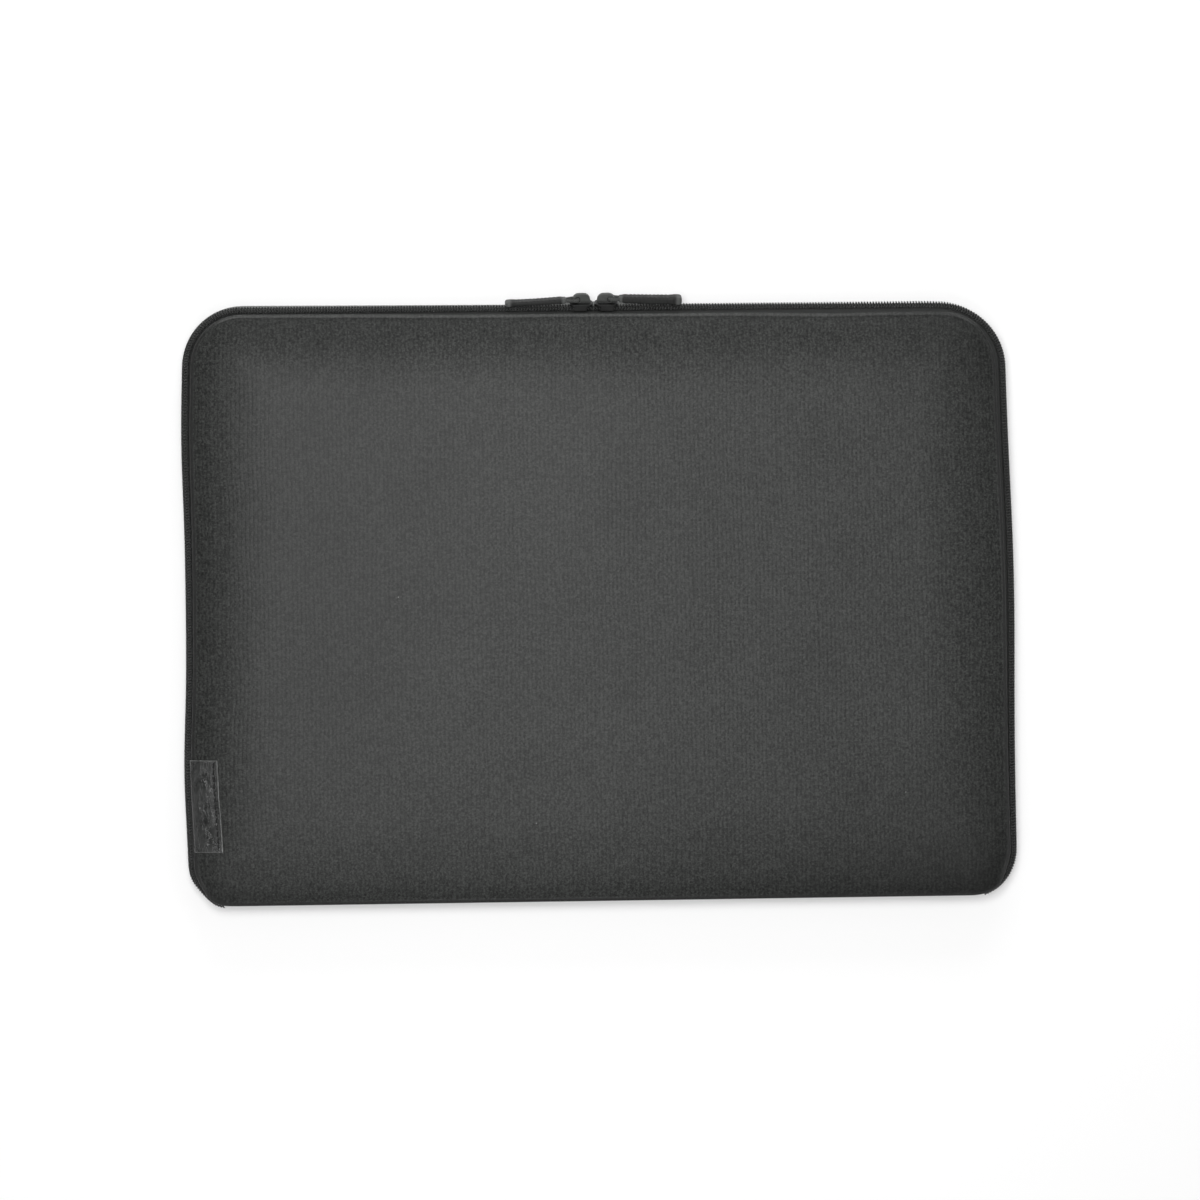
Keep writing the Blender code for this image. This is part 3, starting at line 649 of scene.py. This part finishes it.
def pull_cord(side, look):
    """Three twisted strands."""
    path, at = cord_path(PULLS[side][2])
    tangent = unit(np.gradient(path, axis=0))
    up = np.broadcast_to([0.0, 0.0, 1.0], path.shape)
    across = unit(np.cross(tangent, up))
    up = np.cross(across, tangent)
    tubes = []
    full = 1 + 0.3 * np.clip(1 - path[:, 0] / (3 * MM), 0, 1)  # the cord fills the crown's eye
    for strand in range(3):
        angle = (math.tau * (at / (2.6 * MM) + strand / 3))[:, None]
        own = path + (across * np.cos(angle) + up * np.sin(angle)) * 0.42 * MM * full[:, None]
        tubes.append(swept(own, 0.5 * MM * full, 8, up))
    mesh = tube_mesh(f"{side}_cord", tubes)
    mesh.transform(pull_frame(side))
    new_piece(mesh, look, f"{side}_pull", (f"{side}_pull_cord",))


def grip_stations(start, end):
    """Distance from the pivot, half width and half height of the grip's sections, in mm."""
    stations = [(start + x, width, height) for x, width, height in (
        (0, 1.75, 0.75), (0.15, 2.15, 1.0), (0.5, 2.45, 1.16), (1.1, 2.6, 1.2), (1.9, 2.6, 1.2),
        (2.3, 2.85, 1.33), (3.2, 2.95, 1.36))]
    neck = end - GRIP_TIP
    rib = start + 4.4
    while rib < neck - 1.6:
        stations += [
            (rib, 3.0, 1.36), (rib + 0.35, 2.92, 1.2), (rib + 0.75, 2.92, 1.2), (rib + 1.1, 3.0, 1.36)]
        rib += 1.9
    return stations + [
        (neck, 3.0, 1.36), (neck + 0.5, 3.25, 1.38), (neck + 1.2, 3.5, 1.4), (end - 1.8, 3.55, 1.4),
        (end - 1.0, 3.35, 1.36), (end - 0.4, 2.9, 1.2), (end - 0.1, 2.3, 0.85), (end, 1.7, 0.5)]


def pull_grip(side, look):
    """Moulded soft grip: a ribbed middle, a collar at the cord and a flared, rounded tip."""
    start, length = GRIPS[side]
    root, tip, still = GRIP_THICKER[side]
    angle = np.arange(28) * math.tau / 28
    c, s = (np.sign(v) * abs(v) ** power for v, power in ((np.cos(angle), 0.32), (np.sin(angle), 0.42)))
    rings = []
    for x, width, height in grip_stations(start, start + length):
        thick = root + (tip - root) * min(1, (x - start) / 15)
        middle = still * 1.36 * (thick - root)
        rings.append(np.column_stack([np.full(len(angle), x), c * width, middle + s * height * thick]))
    rings = np.array(rings) * MM
    mesh = tube_mesh(f"{side}_grip", [rings])
    from_root = rings[:, :, 0] - start * MM
    put_attribute(mesh, "weave", from_root, length * MM - from_root)
    mesh.transform(pull_frame(side) @ Matrix.Rotation(PULLS[side][2], 4, "X"))
    piece = new_piece(mesh, look, None, (f"{side}_pull_grip",))
    subdivided(piece)
    apply_modifiers(piece)
    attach(piece, f"{side}_pull")


# ---- label

TAG_LOW, TAG_HIGH = (list(corner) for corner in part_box("tag"))
TAG_HIGH[1] -= 0.4 * MM
TAG_MIDDLE = (TAG_LOW[1] + TAG_HIGH[1]) / 2
TAG_ACROSS = 15 * MM  # from the panel's own edge to the label's inner edge, along the leather
# Where the leather goes over the hem: distance along it, inset, z above the rim, and the way out in x and z
TAG_WRAP = (
    (-1.1, 1.7, -0.9, -1.0, -0.3), (-0.55, 1.5, -0.35, -1.0, -0.1), (0.0, 1.2, 0.25, -1.0, 0.1),
    (0.5, 0.95, 0.95, -1.0, 0.2), (1.0, 0.85, 1.7, -0.95, 0.3), (1.5, 0.9, 2.3, -0.8, 0.6),
    (2.1, 1.2, 2.8, -0.45, 0.9))
TAG_THICKNESS = 0.55 * MM
STITCHES, STITCH_PITCH, STITCH_LENGTH, STITCH_INSET = 13, 3.3 * MM, 2.3 * MM, 2.1 * MM


def tag_point(t, y, lift=0.0):
    """A point of the label's underside: t from the panel's own left edge, wrapped over its rounded rim."""
    own = front_inset(np.array([-HALF_X]), np.array([y]))[0]
    if t < TAG_WRAP[-1][0] * MM:
        steps, *columns = zip(*TAG_WRAP)
        inset, height, nx, nz = (np.interp(t / MM, steps, column) for column in columns)
        inset, z = own + inset * MM, FRONT_RIM + height * MM
    else:
        inset = own + (t - 0.9 * MM)
        z = front_surface(np.array([-HALF_X + inset]), np.array([y]))[0] + 0.3 * MM
        nx, nz = -0.35, 0.94
    size = math.hypot(nx, nz)
    slant = (0.02 + 0.022 * min(max(t, 0) / TAG_ACROSS, 1)) * (TAG_MIDDLE - y) - 0.02 * max(t, 0)
    return np.array([-HALF_X + inset + slant + lift * nx / size, y, z + lift * nz / size])


def tag_piece(look):
    """The leatherette label, sewn round the front panel's left edge, slightly creased and curled."""
    across = MM * np.array([
        -1.1, -0.5, 0.1, 0.6, 1.1, 1.6, 2.1, 2.7, 3.4, 4.2, 5.1, 6, 7, 8, 9, 10, 11, 12, 13, 13.7, 14.4, 15])
    along = np.linspace(TAG_LOW[1], TAG_HIGH[1], 64)
    half = TAG_THICKNESS / 2
    rows = []
    for t in across:
        row = []
        reach = max(0, t / TAG_ACROSS)
        for y in along:
            crease = 1.5 * noise.noise(Vector((t * 190 + y * 60, y * 110, 2.2)))
            crease += 0.9 * noise.noise(Vector((t * 430 - y * 240, y * 330, 7.1)))
            end = 1 - min(1, (TAG_HIGH[1] - y) / (3 * MM), (y - TAG_LOW[1]) / (3 * MM))
            lift = half + 0.12 * MM + 0.27 * MM * crease * min(1, reach * 4) + 0.15 * MM * end
            stitched = math.exp(-((across[-1] - STITCH_INSET - t) / (0.9 * MM)) ** 2)
            row.append(tag_point(t, y, lift - 0.16 * MM * stitched))
        rows.append(row)
    mesh = grid_mesh("leather_tag", np.array(rows))
    put_attribute(mesh, "weave", *np.meshgrid(along, across))
    finished_soft(mesh, look, "front_cover", ("tag",), 1, TAG_THICKNESS)


def tag_stitches(look):
    """Thirteen separate stitches along the label's inner edge, each diving into the leather at its ends."""
    t = TAG_ACROSS - STITCH_INSET
    tubes = []
    for number in range(STITCHES):
        y = TAG_MIDDLE + (number - (STITCHES - 1) / 2) * STITCH_PITCH
        y += 0.12 * MM * noise.noise(Vector((number * 1.7, 0.3, 0.9)))
        path = []
        for share in np.linspace(-1, 1, 13):
            lift = TAG_THICKNESS + 0.02 * MM + 0.34 * MM * (1 - abs(share) ** 3) - 0.25 * MM * abs(share) ** 6
            path.append(tag_point(t + 0.12 * MM * share, y + share * STITCH_LENGTH / 2, lift))
        tubes.append(swept(path, 0.3 * MM, 8, (0, 0, 1.0)))
    finished_soft(tube_mesh("tag_stitches", tubes), look, "front_cover", ("tag_thread",), 0)


# ---- inside

def quilt(x, y):
    """Slight unevenness of the plush over its foam."""
    return 0.25 * MM * lump(x, y, 5.5, 22) + 0.12 * MM * lump(x, y, 1.5, 60)


# The linings' folds at the rim, from the raw edge to the floor: inset, z from the rim into the half, in mm
BACK_FOLD = (
    (3.2, 0.9), (3.9, 0.35), (4.6, 0.2), (5.2, 0.6), (5.7, 1.6), (6.1, 2.8), (6.8, 3.7), (8.2, 4.15))
FRONT_FOLD = (
    (3.0, 0.9), (3.7, 0.35), (4.4, 0.2), (5.0, 0.5), (5.6, 1.2), (6.3, 2.1), (7.3, 3.0), (8.8, 3.8))
LINING_FLOOR = {"back": 6 * MM, "front": 24 * MM}


def lining(side, look):
    """Plush over the foam's inside, folded over at the rim. It never swells far towards the foam."""
    place, _ = loop_stations()
    sign, edge, body = HALVES[side]
    own, fold = 0, BACK_FOLD
    if side == "front":
        own = np.maximum(front_inset(*place.T) - 0.3 * MM, 0.8 * MM)
        fold = FRONT_FOLD
    rim = [(own + t * MM, edge + sign * z * MM) for t, z in fold]

    def floor(x, y):
        return LINING_FLOOR[side] - sign * np.minimum(-sign * quilt(x, y), 0.2 * MM)

    mesh = panel_mesh(f"{side}_plush", rim, floor, side == "back", 40 * MM, 3)
    finished_soft(mesh, look, body, (f"{side}_lining",))


BINDING_SECTION = (  # inset, z from the rim into the half, in mm
    (2.35, 1.9), (2.25, 1.2), (2.45, 0.7), (3.0, 0.5), (3.7, 0.5), (4.2, 0.75), (4.4, 1.3), (4.3, 1.9))


def binding(side, look):
    """Grosgrain strip over the raw edges of the lining and the tape."""
    place, turn = loop_stations()
    sign, rim, body = HALVES[side]
    own = front_inset(*place.T) if side == "front" else 0
    grid = np.array([row_at(place, turn, own + t * MM, rim + sign * z * MM) for t, z in BINDING_SECTION])
    mesh = strip_mesh(f"{side}_edging", lengths(np.vstack([place, place[:1]]))[:-1], grid, closed=True)
    if side == "back":
        mesh.flip_normals()
    finished_soft(mesh, look, body, (f"{side}_binding",), 0)


# ---- spine

SPINE_REACH = 179 * MM


def spine_strip(name, look, replaced, profile):
    """Half of the fabric spine: rows of (depth inside the bottom edge, z) in mm, bending at one fold."""
    across = np.linspace(-SPINE_REACH, SPINE_REACH, 121)
    ends = 0.5 * MM * np.clip((np.abs(across) - 171 * MM) / (8 * MM), 0, 1)
    grid = np.array([
        np.column_stack([across, -HALF_Y + depth * MM + ends, np.full(len(across), z * MM)])
        for depth, z in profile])
    piece = finished_soft(strip_mesh(name, across, grid), look, None, replaced, 1, 0.5 * MM)
    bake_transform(piece)


def spine(knit, plush):
    spine_strip("spine_lower", knit, ("spine_cover",), (
        (1.75, 9.0), (1.65, 10.0), (1.35, 10.5), (0.95, 10.9), (0.7, 11.4), (0.6, 12.2), (0.55, 13.6),
        (0.55, 15.0)))
    spine_strip("spine_upper", knit, (), (
        (0.55, 15.0), (0.55, 16.4), (0.6, 17.8), (0.7, 18.6), (0.95, 19.1), (1.35, 19.5), (1.75, 20.0),
        (1.95, 21.0)))
    spine_strip("spine_lower_plush", plush, ("spine_lining",), (
        (2.6, 8.9), (2.3, 9.9), (1.9, 10.7), (1.75, 12.0), (1.7, 13.5), (1.7, 15.0)))
    spine_strip("spine_upper_plush", plush, (), (
        (1.7, 15.0), (1.7, 16.5), (1.75, 18.0), (1.9, 19.3), (2.3, 20.1), (2.6, 21.1)))


# ---- materials

class Nodes:
    """Short calls for building one material's node tree. A value can be a number, a colour or a socket."""

    def __init__(self, name):
        self.material = bpy.data.materials.new(name)
        self.material.use_nodes = True
        self.tree = self.material.node_tree
        self.shader = self.tree.nodes["Principled BSDF"]

    def new(self, kind, **values):
        node = self.tree.nodes.new("ShaderNode" + kind)
        for key, value in values.items():
            setattr(node, key, value)
        return node

    def feed(self, socket, value):
        if isinstance(value, (int, float)):
            socket.default_value = value
        elif isinstance(value, tuple):
            socket.default_value = (*value, 1)
        elif value is not None:
            self.tree.links.new(value, socket)

    def filled(self, kind, inputs, **values):
        """A new node with its named inputs filled."""
        node = self.new(kind, **values)
        for name, value in inputs.items():
            self.feed(node.inputs[name], value)
        return node

    def math(self, operation, a, b=None, clamp=False):
        node = self.new("Math", operation=operation, use_clamp=clamp)
        self.feed(node.inputs[0], a)
        self.feed(node.inputs[1], b)
        return node.outputs[0]

    def add(self, total, *terms):
        for term in terms:
            total = self.math("ADD", total, term)
        return total

    minus = partialmethod(math, "SUBTRACT")
    times = partialmethod(math, "MULTIPLY")
    over = partialmethod(math, "DIVIDE")

    def smallest(self, least, *others):
        for other in others:
            least = self.math("MINIMUM", least, other)
        return least

    def off(self, a, b):
        """The distance between two numbers."""
        return self.math("ABSOLUTE", self.minus(a, b))

    def wave(self, count):
        """0 at each whole number and 1 half way between."""
        return self.math("SINE", self.times(self.math("FRACT", count), math.pi))

    def ramp(self, factor, *stops):
        """Colours, or grey levels, at stops along the factor."""
        node = self.new("ValToRGB")
        while len(node.color_ramp.elements) < len(stops):
            node.color_ramp.elements.new(0.5)
        for element, (position, colour) in zip(node.color_ramp.elements, stops):
            element.position = position
            element.color = (*colour, 1) if isinstance(colour, tuple) else (colour, colour, colour, 1)
        self.feed(node.inputs[0], factor)
        return node.outputs[0]

    def mix(self, factor, a, b, mode="MIX"):
        node = self.new("Mix", data_type="RGBA", blend_type=mode)
        for socket, value in ((0, factor), (6, a), (7, b)):
            self.feed(node.inputs[socket], value)
        return node.outputs[2]

    def attribute(self, name):
        return self.new("Attribute", attribute_name=name).outputs["Vector"]

    def place(self):
        return self.new("TexCoord").outputs["Object"]

    def split(self, vector):
        return self.filled("SeparateXYZ", {0: vector}).outputs

    def join(self, x, y, z=0.0):
        return self.filled("CombineXYZ", {0: x, 1: y, 2: z}).outputs[0]

    def noise(self, vector, scale, detail=2.0, roughness=0.5, distortion=0.0):
        return self.filled("TexNoise", {
            "Scale": scale, "Detail": detail, "Roughness": roughness, "Distortion": distortion,
            "Vector": vector}).outputs["Fac"]

    def white(self, vector):
        return self.filled("TexWhiteNoise", {"Vector": vector}).outputs["Value"]

    def voronoi(self, vector, scale, feature="F1"):
        inputs = {"Scale": scale, "Vector": vector}
        return self.filled("TexVoronoi", inputs, feature=feature).outputs

    def bump(self, height, distance, strength):
        node = self.filled("Bump", {"Strength": strength, "Distance": distance, "Height": height})
        self.feed(self.shader.inputs["Normal"], node.outputs[0])

    def set(self, **values):
        for name, value in values.items():
            self.feed(self.shader.inputs[name.replace("_", " ")], value)


RIB = 2.0 * MM
KNOT = 1.0 * MM


def knit_material():
    """Fine, faint ribs along the sleeve's height, broken into uneven knots, in a heathered charcoal, with the
    panels' painted highlights and painted shade.
    """
    n = Nodes("ribbed_knit")
    weave = n.attribute("weave")
    u, v, _ = n.split(weave)
    slow = n.join(  # turned, so that the noise's own grid doesn't line up with the ribs
        n.add(n.times(u, 0.83), n.times(v, 0.56)), n.minus(n.times(v, 0.83), n.times(u, 0.56)), 0.371)
    sway, wander = n.noise(slow, 24, 1), n.noise(slow, 380, 2, 0.6)
    ribs = n.add(n.over(u, RIB), n.times(sway, 1.3), n.times(wander, 0.5))
    offset = n.white(n.join(n.math("FLOOR", ribs), 3.0))
    knots = n.add(n.over(v, KNOT), n.times(offset, 5.0), n.times(n.noise(slow, 300, 1), 1.2))
    cell = n.white(n.join(n.math("FLOOR", n.times(ribs, 2.0)), n.math("FLOOR", knots), 1.0))
    fibre, fuzz = n.noise(slow, 1150, 3, 0.75), n.noise(slow, 2300, 2, 0.7)
    cloud = n.noise(slow, 26, 3, 0.5)
    body = n.times(n.wave(ribs), n.add(0.6, n.times(n.wave(knots), 0.4)))
    height = n.add(n.times(body, 0.85), n.times(fibre, 0.9))
    light = n.add(*(n.times(layer, share) for layer, share in (
        (body, 0.15), (cell, 0.28), (fibre, 1.15), (fuzz, 0.6), (cloud, 0.12))))
    tone = n.ramp(
        n.minus(light, 0.654),
        (0.16, (0.003, 0.0032, 0.003)), (0.5, (0.0225, 0.0238, 0.0227)), (0.84, (0.053, 0.055, 0.0528)))
    speck = n.voronoi(weave, 62)
    near = n.math("LESS_THAN", speck["Distance"], 0.016)
    lint = n.times(near, n.math("GREATER_THAN", n.split(speck["Color"])[0], 0.93))
    colour = n.mix(n.times(lint, 0.8), tone, (0.32, 0.33, 0.32))
    # Painted light and shade: paler where the panels carry painted highlights, darker where they carry
    # painted shade
    paler, darker, _ = n.split(n.attribute("painted_light_and_shade"))
    paler = n.times(paler, n.add(0.35, n.times(fibre, 0.8)))
    colour = n.mix(darker, n.mix(paler, colour, (0.24, 0.247, 0.241)), (0.004, 0.0042, 0.004))
    rough = n.ramp(fibre, (0.3, 0.46), (0.7, 0.56))
    n.set(Base_Color=colour, Roughness=rough, Specular_IOR_Level=0.25)
    n.bump(height, 0.2 * MM, 0.21)
    return n.material


def plush_material():
    """Short pile, brushed into soft patches."""
    n = Nodes("plush_lining")
    place = n.place()
    pile = n.noise(place, 2600, 2, 0.7)
    patch = n.noise(place, 70, 3, 0.6, 0.6)
    tuft = n.noise(place, 520, 2, 0.6)
    light = n.add(n.times(pile, 0.45), n.times(patch, 0.35), n.times(tuft, 0.3))
    tone = n.ramp(
        light, (0.3, (0.012, 0.012, 0.013)), (0.6, (0.034, 0.034, 0.036)), (0.8, (0.07, 0.07, 0.074)))
    n.set(Base_Color=tone, Roughness=0.95, Specular_IOR_Level=0.15, Sheen_Weight=0.35, Sheen_Roughness=0.5)
    n.bump(n.add(n.times(pile, 0.6), n.times(tuft, 0.8)), 0.4 * MM, 0.7)
    return n.material


def tape_material(name, rib, dark, light):
    """Woven strip: a herringbone of slanting floats along the strip."""
    n = Nodes(name)
    weave = n.attribute("weave")
    u, v, _ = n.split(weave)
    side = n.math("PINGPONG", n.over(v, rib), 1.0)
    slant = n.add(n.over(u, rib * 0.55), n.times(side, 1.1))
    fibre = n.noise(weave, 3000, 2, 0.6)
    height = n.add(n.times(n.wave(slant), 0.7), n.times(fibre, 0.4))
    n.set(Base_Color=n.ramp(height, (0.2, dark), (0.85, light)))
    n.set(Roughness=n.ramp(fibre, (0.3, 0.7), (0.7, 0.9)), Specular_IOR_Level=0.18)
    n.bump(height, 0.15 * MM, 0.8)
    return n.material


def grained_material(name, grain, dark, light, rough, specular, depth, strength):
    """A plain material in two tones with a fine grain."""
    n = Nodes(name)
    fibre = n.noise(n.place(), *grain)
    n.set(Base_Color=n.ramp(fibre, (0.3, dark), (0.75, light)), Specular_IOR_Level=specular)
    n.set(Roughness=n.ramp(fibre, (0.3, rough[0]), (0.7, rough[1])))
    n.bump(fibre, depth * MM, strength)
    return n.material


def cord_material(name, tone):
    dark, light = (tuple(c * share for c in tone) for share in (0.45, 1.7))
    return grained_material(name, (3800, 3, 0.7), dark, light, (0.6, 0.85), 0.35, 0.08, 0.8)


def nickel_material():
    """Dark plated casting: faint casting texture, a painted highlight on the crown, and brighter where edges
    have rubbed.
    """
    n = Nodes("dark_nickel")
    place = n.place()
    grain = n.noise(place, 1400, 3, 0.6)
    patch = n.noise(place, 260, 2, 0.5)
    worn = n.add(n.times(grain, 0.35), n.times(patch, 0.65))
    edge = n.new("NewGeometry").outputs["Pointiness"]
    rubbed = n.ramp(edge, (0.5, 0), (0.6, 1))
    plate = n.ramp(worn, (0.3, (0.008, 0.0083, 0.008)), (0.7, (0.017, 0.0175, 0.017)))
    # Painted highlight: the crown, high above the zip, is coloured paler
    crown_highlight_tone = n.ramp(worn, (0.3, (0.045, 0.047, 0.045)), (0.7, (0.085, 0.088, 0.085)))
    lift = n.split(n.attribute("lift"))[0]
    crown_painted_highlight = n.ramp(n.over(lift, 10 * MM), (0.4, 0), (0.56, 1))
    plate = n.mix(n.times(rubbed, 0.3), plate, (0.07, 0.07, 0.07))
    n.set(Base_Color=n.mix(crown_painted_highlight, plate, crown_highlight_tone), Metallic=0.35, Specular_IOR_Level=0.3)
    n.set(Roughness=n.ramp(grain, (0.3, 0.42), (0.75, 0.58)))
    n.bump(grain, 0.05 * MM, 0.5)
    return n.material


def rubber_material():
    """Moulded soft rubber with a faint spark-eroded grain, coloured paler at the tip and at the collar as
    painted highlights.
    """
    n = Nodes("pull_grip")
    place = n.place()
    grain = n.noise(place, 2200, 2, 0.55)
    smudge = n.noise(place, 180, 3, 0.55)
    from_root, from_tip, _ = n.split(n.attribute("weave"))
    uneven = n.times(n.minus(smudge, 0.5), 2 * MM)
    # Painted highlights: the tip and the collar are coloured paler
    tip, root = (
        n.ramp(n.over(n.add(length, uneven), 10 * MM), (first, 1), (last, 0))
        for length, first, last in ((from_tip, 0.22, 0.36), (from_root, 0.16, 0.24)))
    ends = n.math("ADD", tip, root, clamp=True)
    rubber = n.ramp(smudge, (0.3, (0.007, 0.0075, 0.0072)), (0.75, (0.017, 0.0175, 0.017)))
    n.set(Base_Color=n.mix(n.times(ends, 0.85), rubber, (0.085, 0.088, 0.0855)))
    n.set(Roughness=n.ramp(smudge, (0.3, 0.5), (0.7, 0.66)), Specular_IOR_Level=0.28)
    n.bump(grain, 0.05 * MM, 0.6)
    return n.material


def leather_material():
    """Coated leatherette: pebble grain, fine creases, a plain pressed panel, scuffed raw edges, and painted
    shade where it turns over the rim.
    """
    n = Nodes("tag_leather")
    weave = n.attribute("weave")
    u, v, _ = n.split(weave)
    pebble = n.voronoi(weave, 1500, "SMOOTH_F1")["Distance"]
    crease = n.noise(n.join(n.times(u, 0.35), v), 420, 4, 0.6, 1.2)
    fold = n.ramp(n.off(crease, 0.5), (0.0, 0), (0.06, 1))
    inside = n.smallest(
        n.minus(15.5 * MM, n.off(u, TAG_MIDDLE - 0.5 * MM)), n.minus(2.6 * MM, n.off(v, 7.4 * MM)))
    pressed = n.ramp(n.over(n.off(inside, 0.5 * MM), 0.6 * MM), (0.0, 0), (1.0, 1))
    smudge = n.noise(weave, 160, 3, 0.6)
    height = n.add(n.times(pebble, 0.3), n.times(fold, 0.8), n.times(pressed, 0.9))
    tone = n.ramp(smudge, (0.3, (0.011, 0.0116, 0.0112)), (0.7, (0.04, 0.0412, 0.0404)))
    # Painted shade: the leather is coloured darker where it turns down over the panel's rim
    turned = n.ramp(n.over(v, 10 * MM), (0.0, 0.35), (0.4, 1))
    tone = n.mix(1.0, tone, turned, "MULTIPLY")
    edge = n.smallest(n.minus(TAG_ACROSS, v), n.minus(TAG_HIGH[1], u), n.minus(u, TAG_LOW[1]))
    raw = n.ramp(n.over(edge, 1.0 * MM), (0.25, 1), (0.6, 0))
    worn = n.times(raw, n.add(0.35, n.noise(weave, 900, 2)))
    n.set(Base_Color=n.mix(worn, tone, (0.11, 0.113, 0.11)), Specular_IOR_Level=0.5)
    n.set(Roughness=n.ramp(smudge, (0.3, 0.22), (0.75, 0.4)))
    n.bump(height, 0.12 * MM, 0.7)
    return n.material


# ---- studio

CAMERA_DISTANCE = 2.0
CAMERA_LENS = 122.98
CAMERA_AIM = (0.15 * MM, 1.08 * MM, 0)
CAMERA_TURN = (-1.0, -2.4, -0.65)  # degrees about X, then Y, then Z


def add_camera():
    data = bpy.data.cameras.new("camera")
    data.lens = CAMERA_LENS
    data.clip_start, data.clip_end = 0.05, 20
    camera = in_scene(data)
    turn = Euler([math.radians(angle) for angle in CAMERA_TURN], "XYZ").to_matrix()
    camera.location = Vector(CAMERA_AIM) + turn @ Vector((0, 0, CAMERA_DISTANCE))
    camera.rotation_euler = turn.to_euler()
    bpy.context.scene.camera = camera


def add_light(name, place, aim, size, power):
    data = bpy.data.lights.new(name, "AREA")
    data.shape = "RECTANGLE"
    data.size, data.size_y = size
    data.energy = power
    light = in_scene(data)
    light.location = place
    light.rotation_euler = (Vector(aim) - Vector(place)).to_track_quat("-Z", "Y").to_euler()


def studio():
    scene = bpy.context.scene
    scene.view_settings.view_transform = "Standard"
    world = bpy.data.worlds.new("world")
    world.use_nodes = True
    background = world.node_tree.nodes["Background"].inputs
    background["Color"].default_value, background["Strength"].default_value = (1, 1, 1, 1), 0.2
    scene.world = world
    add_light("key", (-0.145, 0.185, 1.55), (-0.02, 0.02, 0.03), (0.42, 0.42), 16.3)
    add_light("low_fill", (-0.15, -0.75, 1.5), (0, 0, 0.03), (0.9, 0.9), 4.8)
    add_light("side_fill", (0.8, 0.15, 1.2), (0.05, 0, 0.03), (0.7, 0.7), 1.2)
    add_light("rim", (0.1, 1.25, 0.7), (0, 0.1, 0.02), (1.2, 0.5), 5)
    floor = grid_mesh("floor", np.array([[(x, y, 0) for x in (-6, 6)] for y in (-6, 6)]))
    n = Nodes("floor")
    n.set(Base_Color=(0.66, 0.66, 0.66), Roughness=0.8, Specular_IOR_Level=0.1)
    n.set(Emission_Color=(1, 1, 1), Emission_Strength=0.33)
    ground = new_piece(floor, n.material, None)
    ground.location.z = -0.4 * MM
    add_camera()


def build():
    knit, plush = knit_material(), plush_material()
    # Lit and shaded copies of one tape: the front tape is coloured darker, painted shade, and the back tape
    # lighter, painted light
    tapes = {
        "front": tape_material("zip_tape", 1.2 * MM, (0.016, 0.0167, 0.0161), (0.046, 0.0473, 0.0462)),
        "back": tape_material("zip_tape_painted_lighter", 1.2 * MM, (0.042, 0.0435, 0.0423), (0.115, 0.118, 0.116))}
    edging = tape_material("edge_binding", 0.9 * MM, (0.01, 0.01, 0.01), (0.034, 0.034, 0.034))
    coil = grained_material(
        "zip_coil", (900, 3, 0.6), (0.022, 0.0226, 0.022), (0.056, 0.0573, 0.056), (0.5, 0.68), 0.25, 0.04,
        0.4)
    nickel, rubber = nickel_material(), rubber_material()
    cord, thread = cord_material("pull_cord", (0.052, 0.054, 0.052)), cord_material("thread", (0.008,) * 3)
    front_panel(knit)
    back_panel(knit)
    for side in ("front", "back"):
        zip_tape(side, tapes[side])
        zip_coil(side, coil)
        lining(side, plush)
        binding(side, edging)
        for end in ("left", "right"):
            cast_copy(
                f"{side}_{end}_stop", f"{side}_{end}_zip_stop", nickel, HALVES[side][2], 0.1 * MM, STOP_SIZE,
                STOP_MOVE)
    spine(knit, plush)
    tag_piece(leather_material())
    tag_stitches(thread)
    for side in ("left", "right"):
        cast_copy(f"{side}_slider_body", f"{side}_slider_casting", nickel, f"{side}_slider")
        pull_cord(side, cord)
        pull_grip(side, rubber)
    studio()


build()
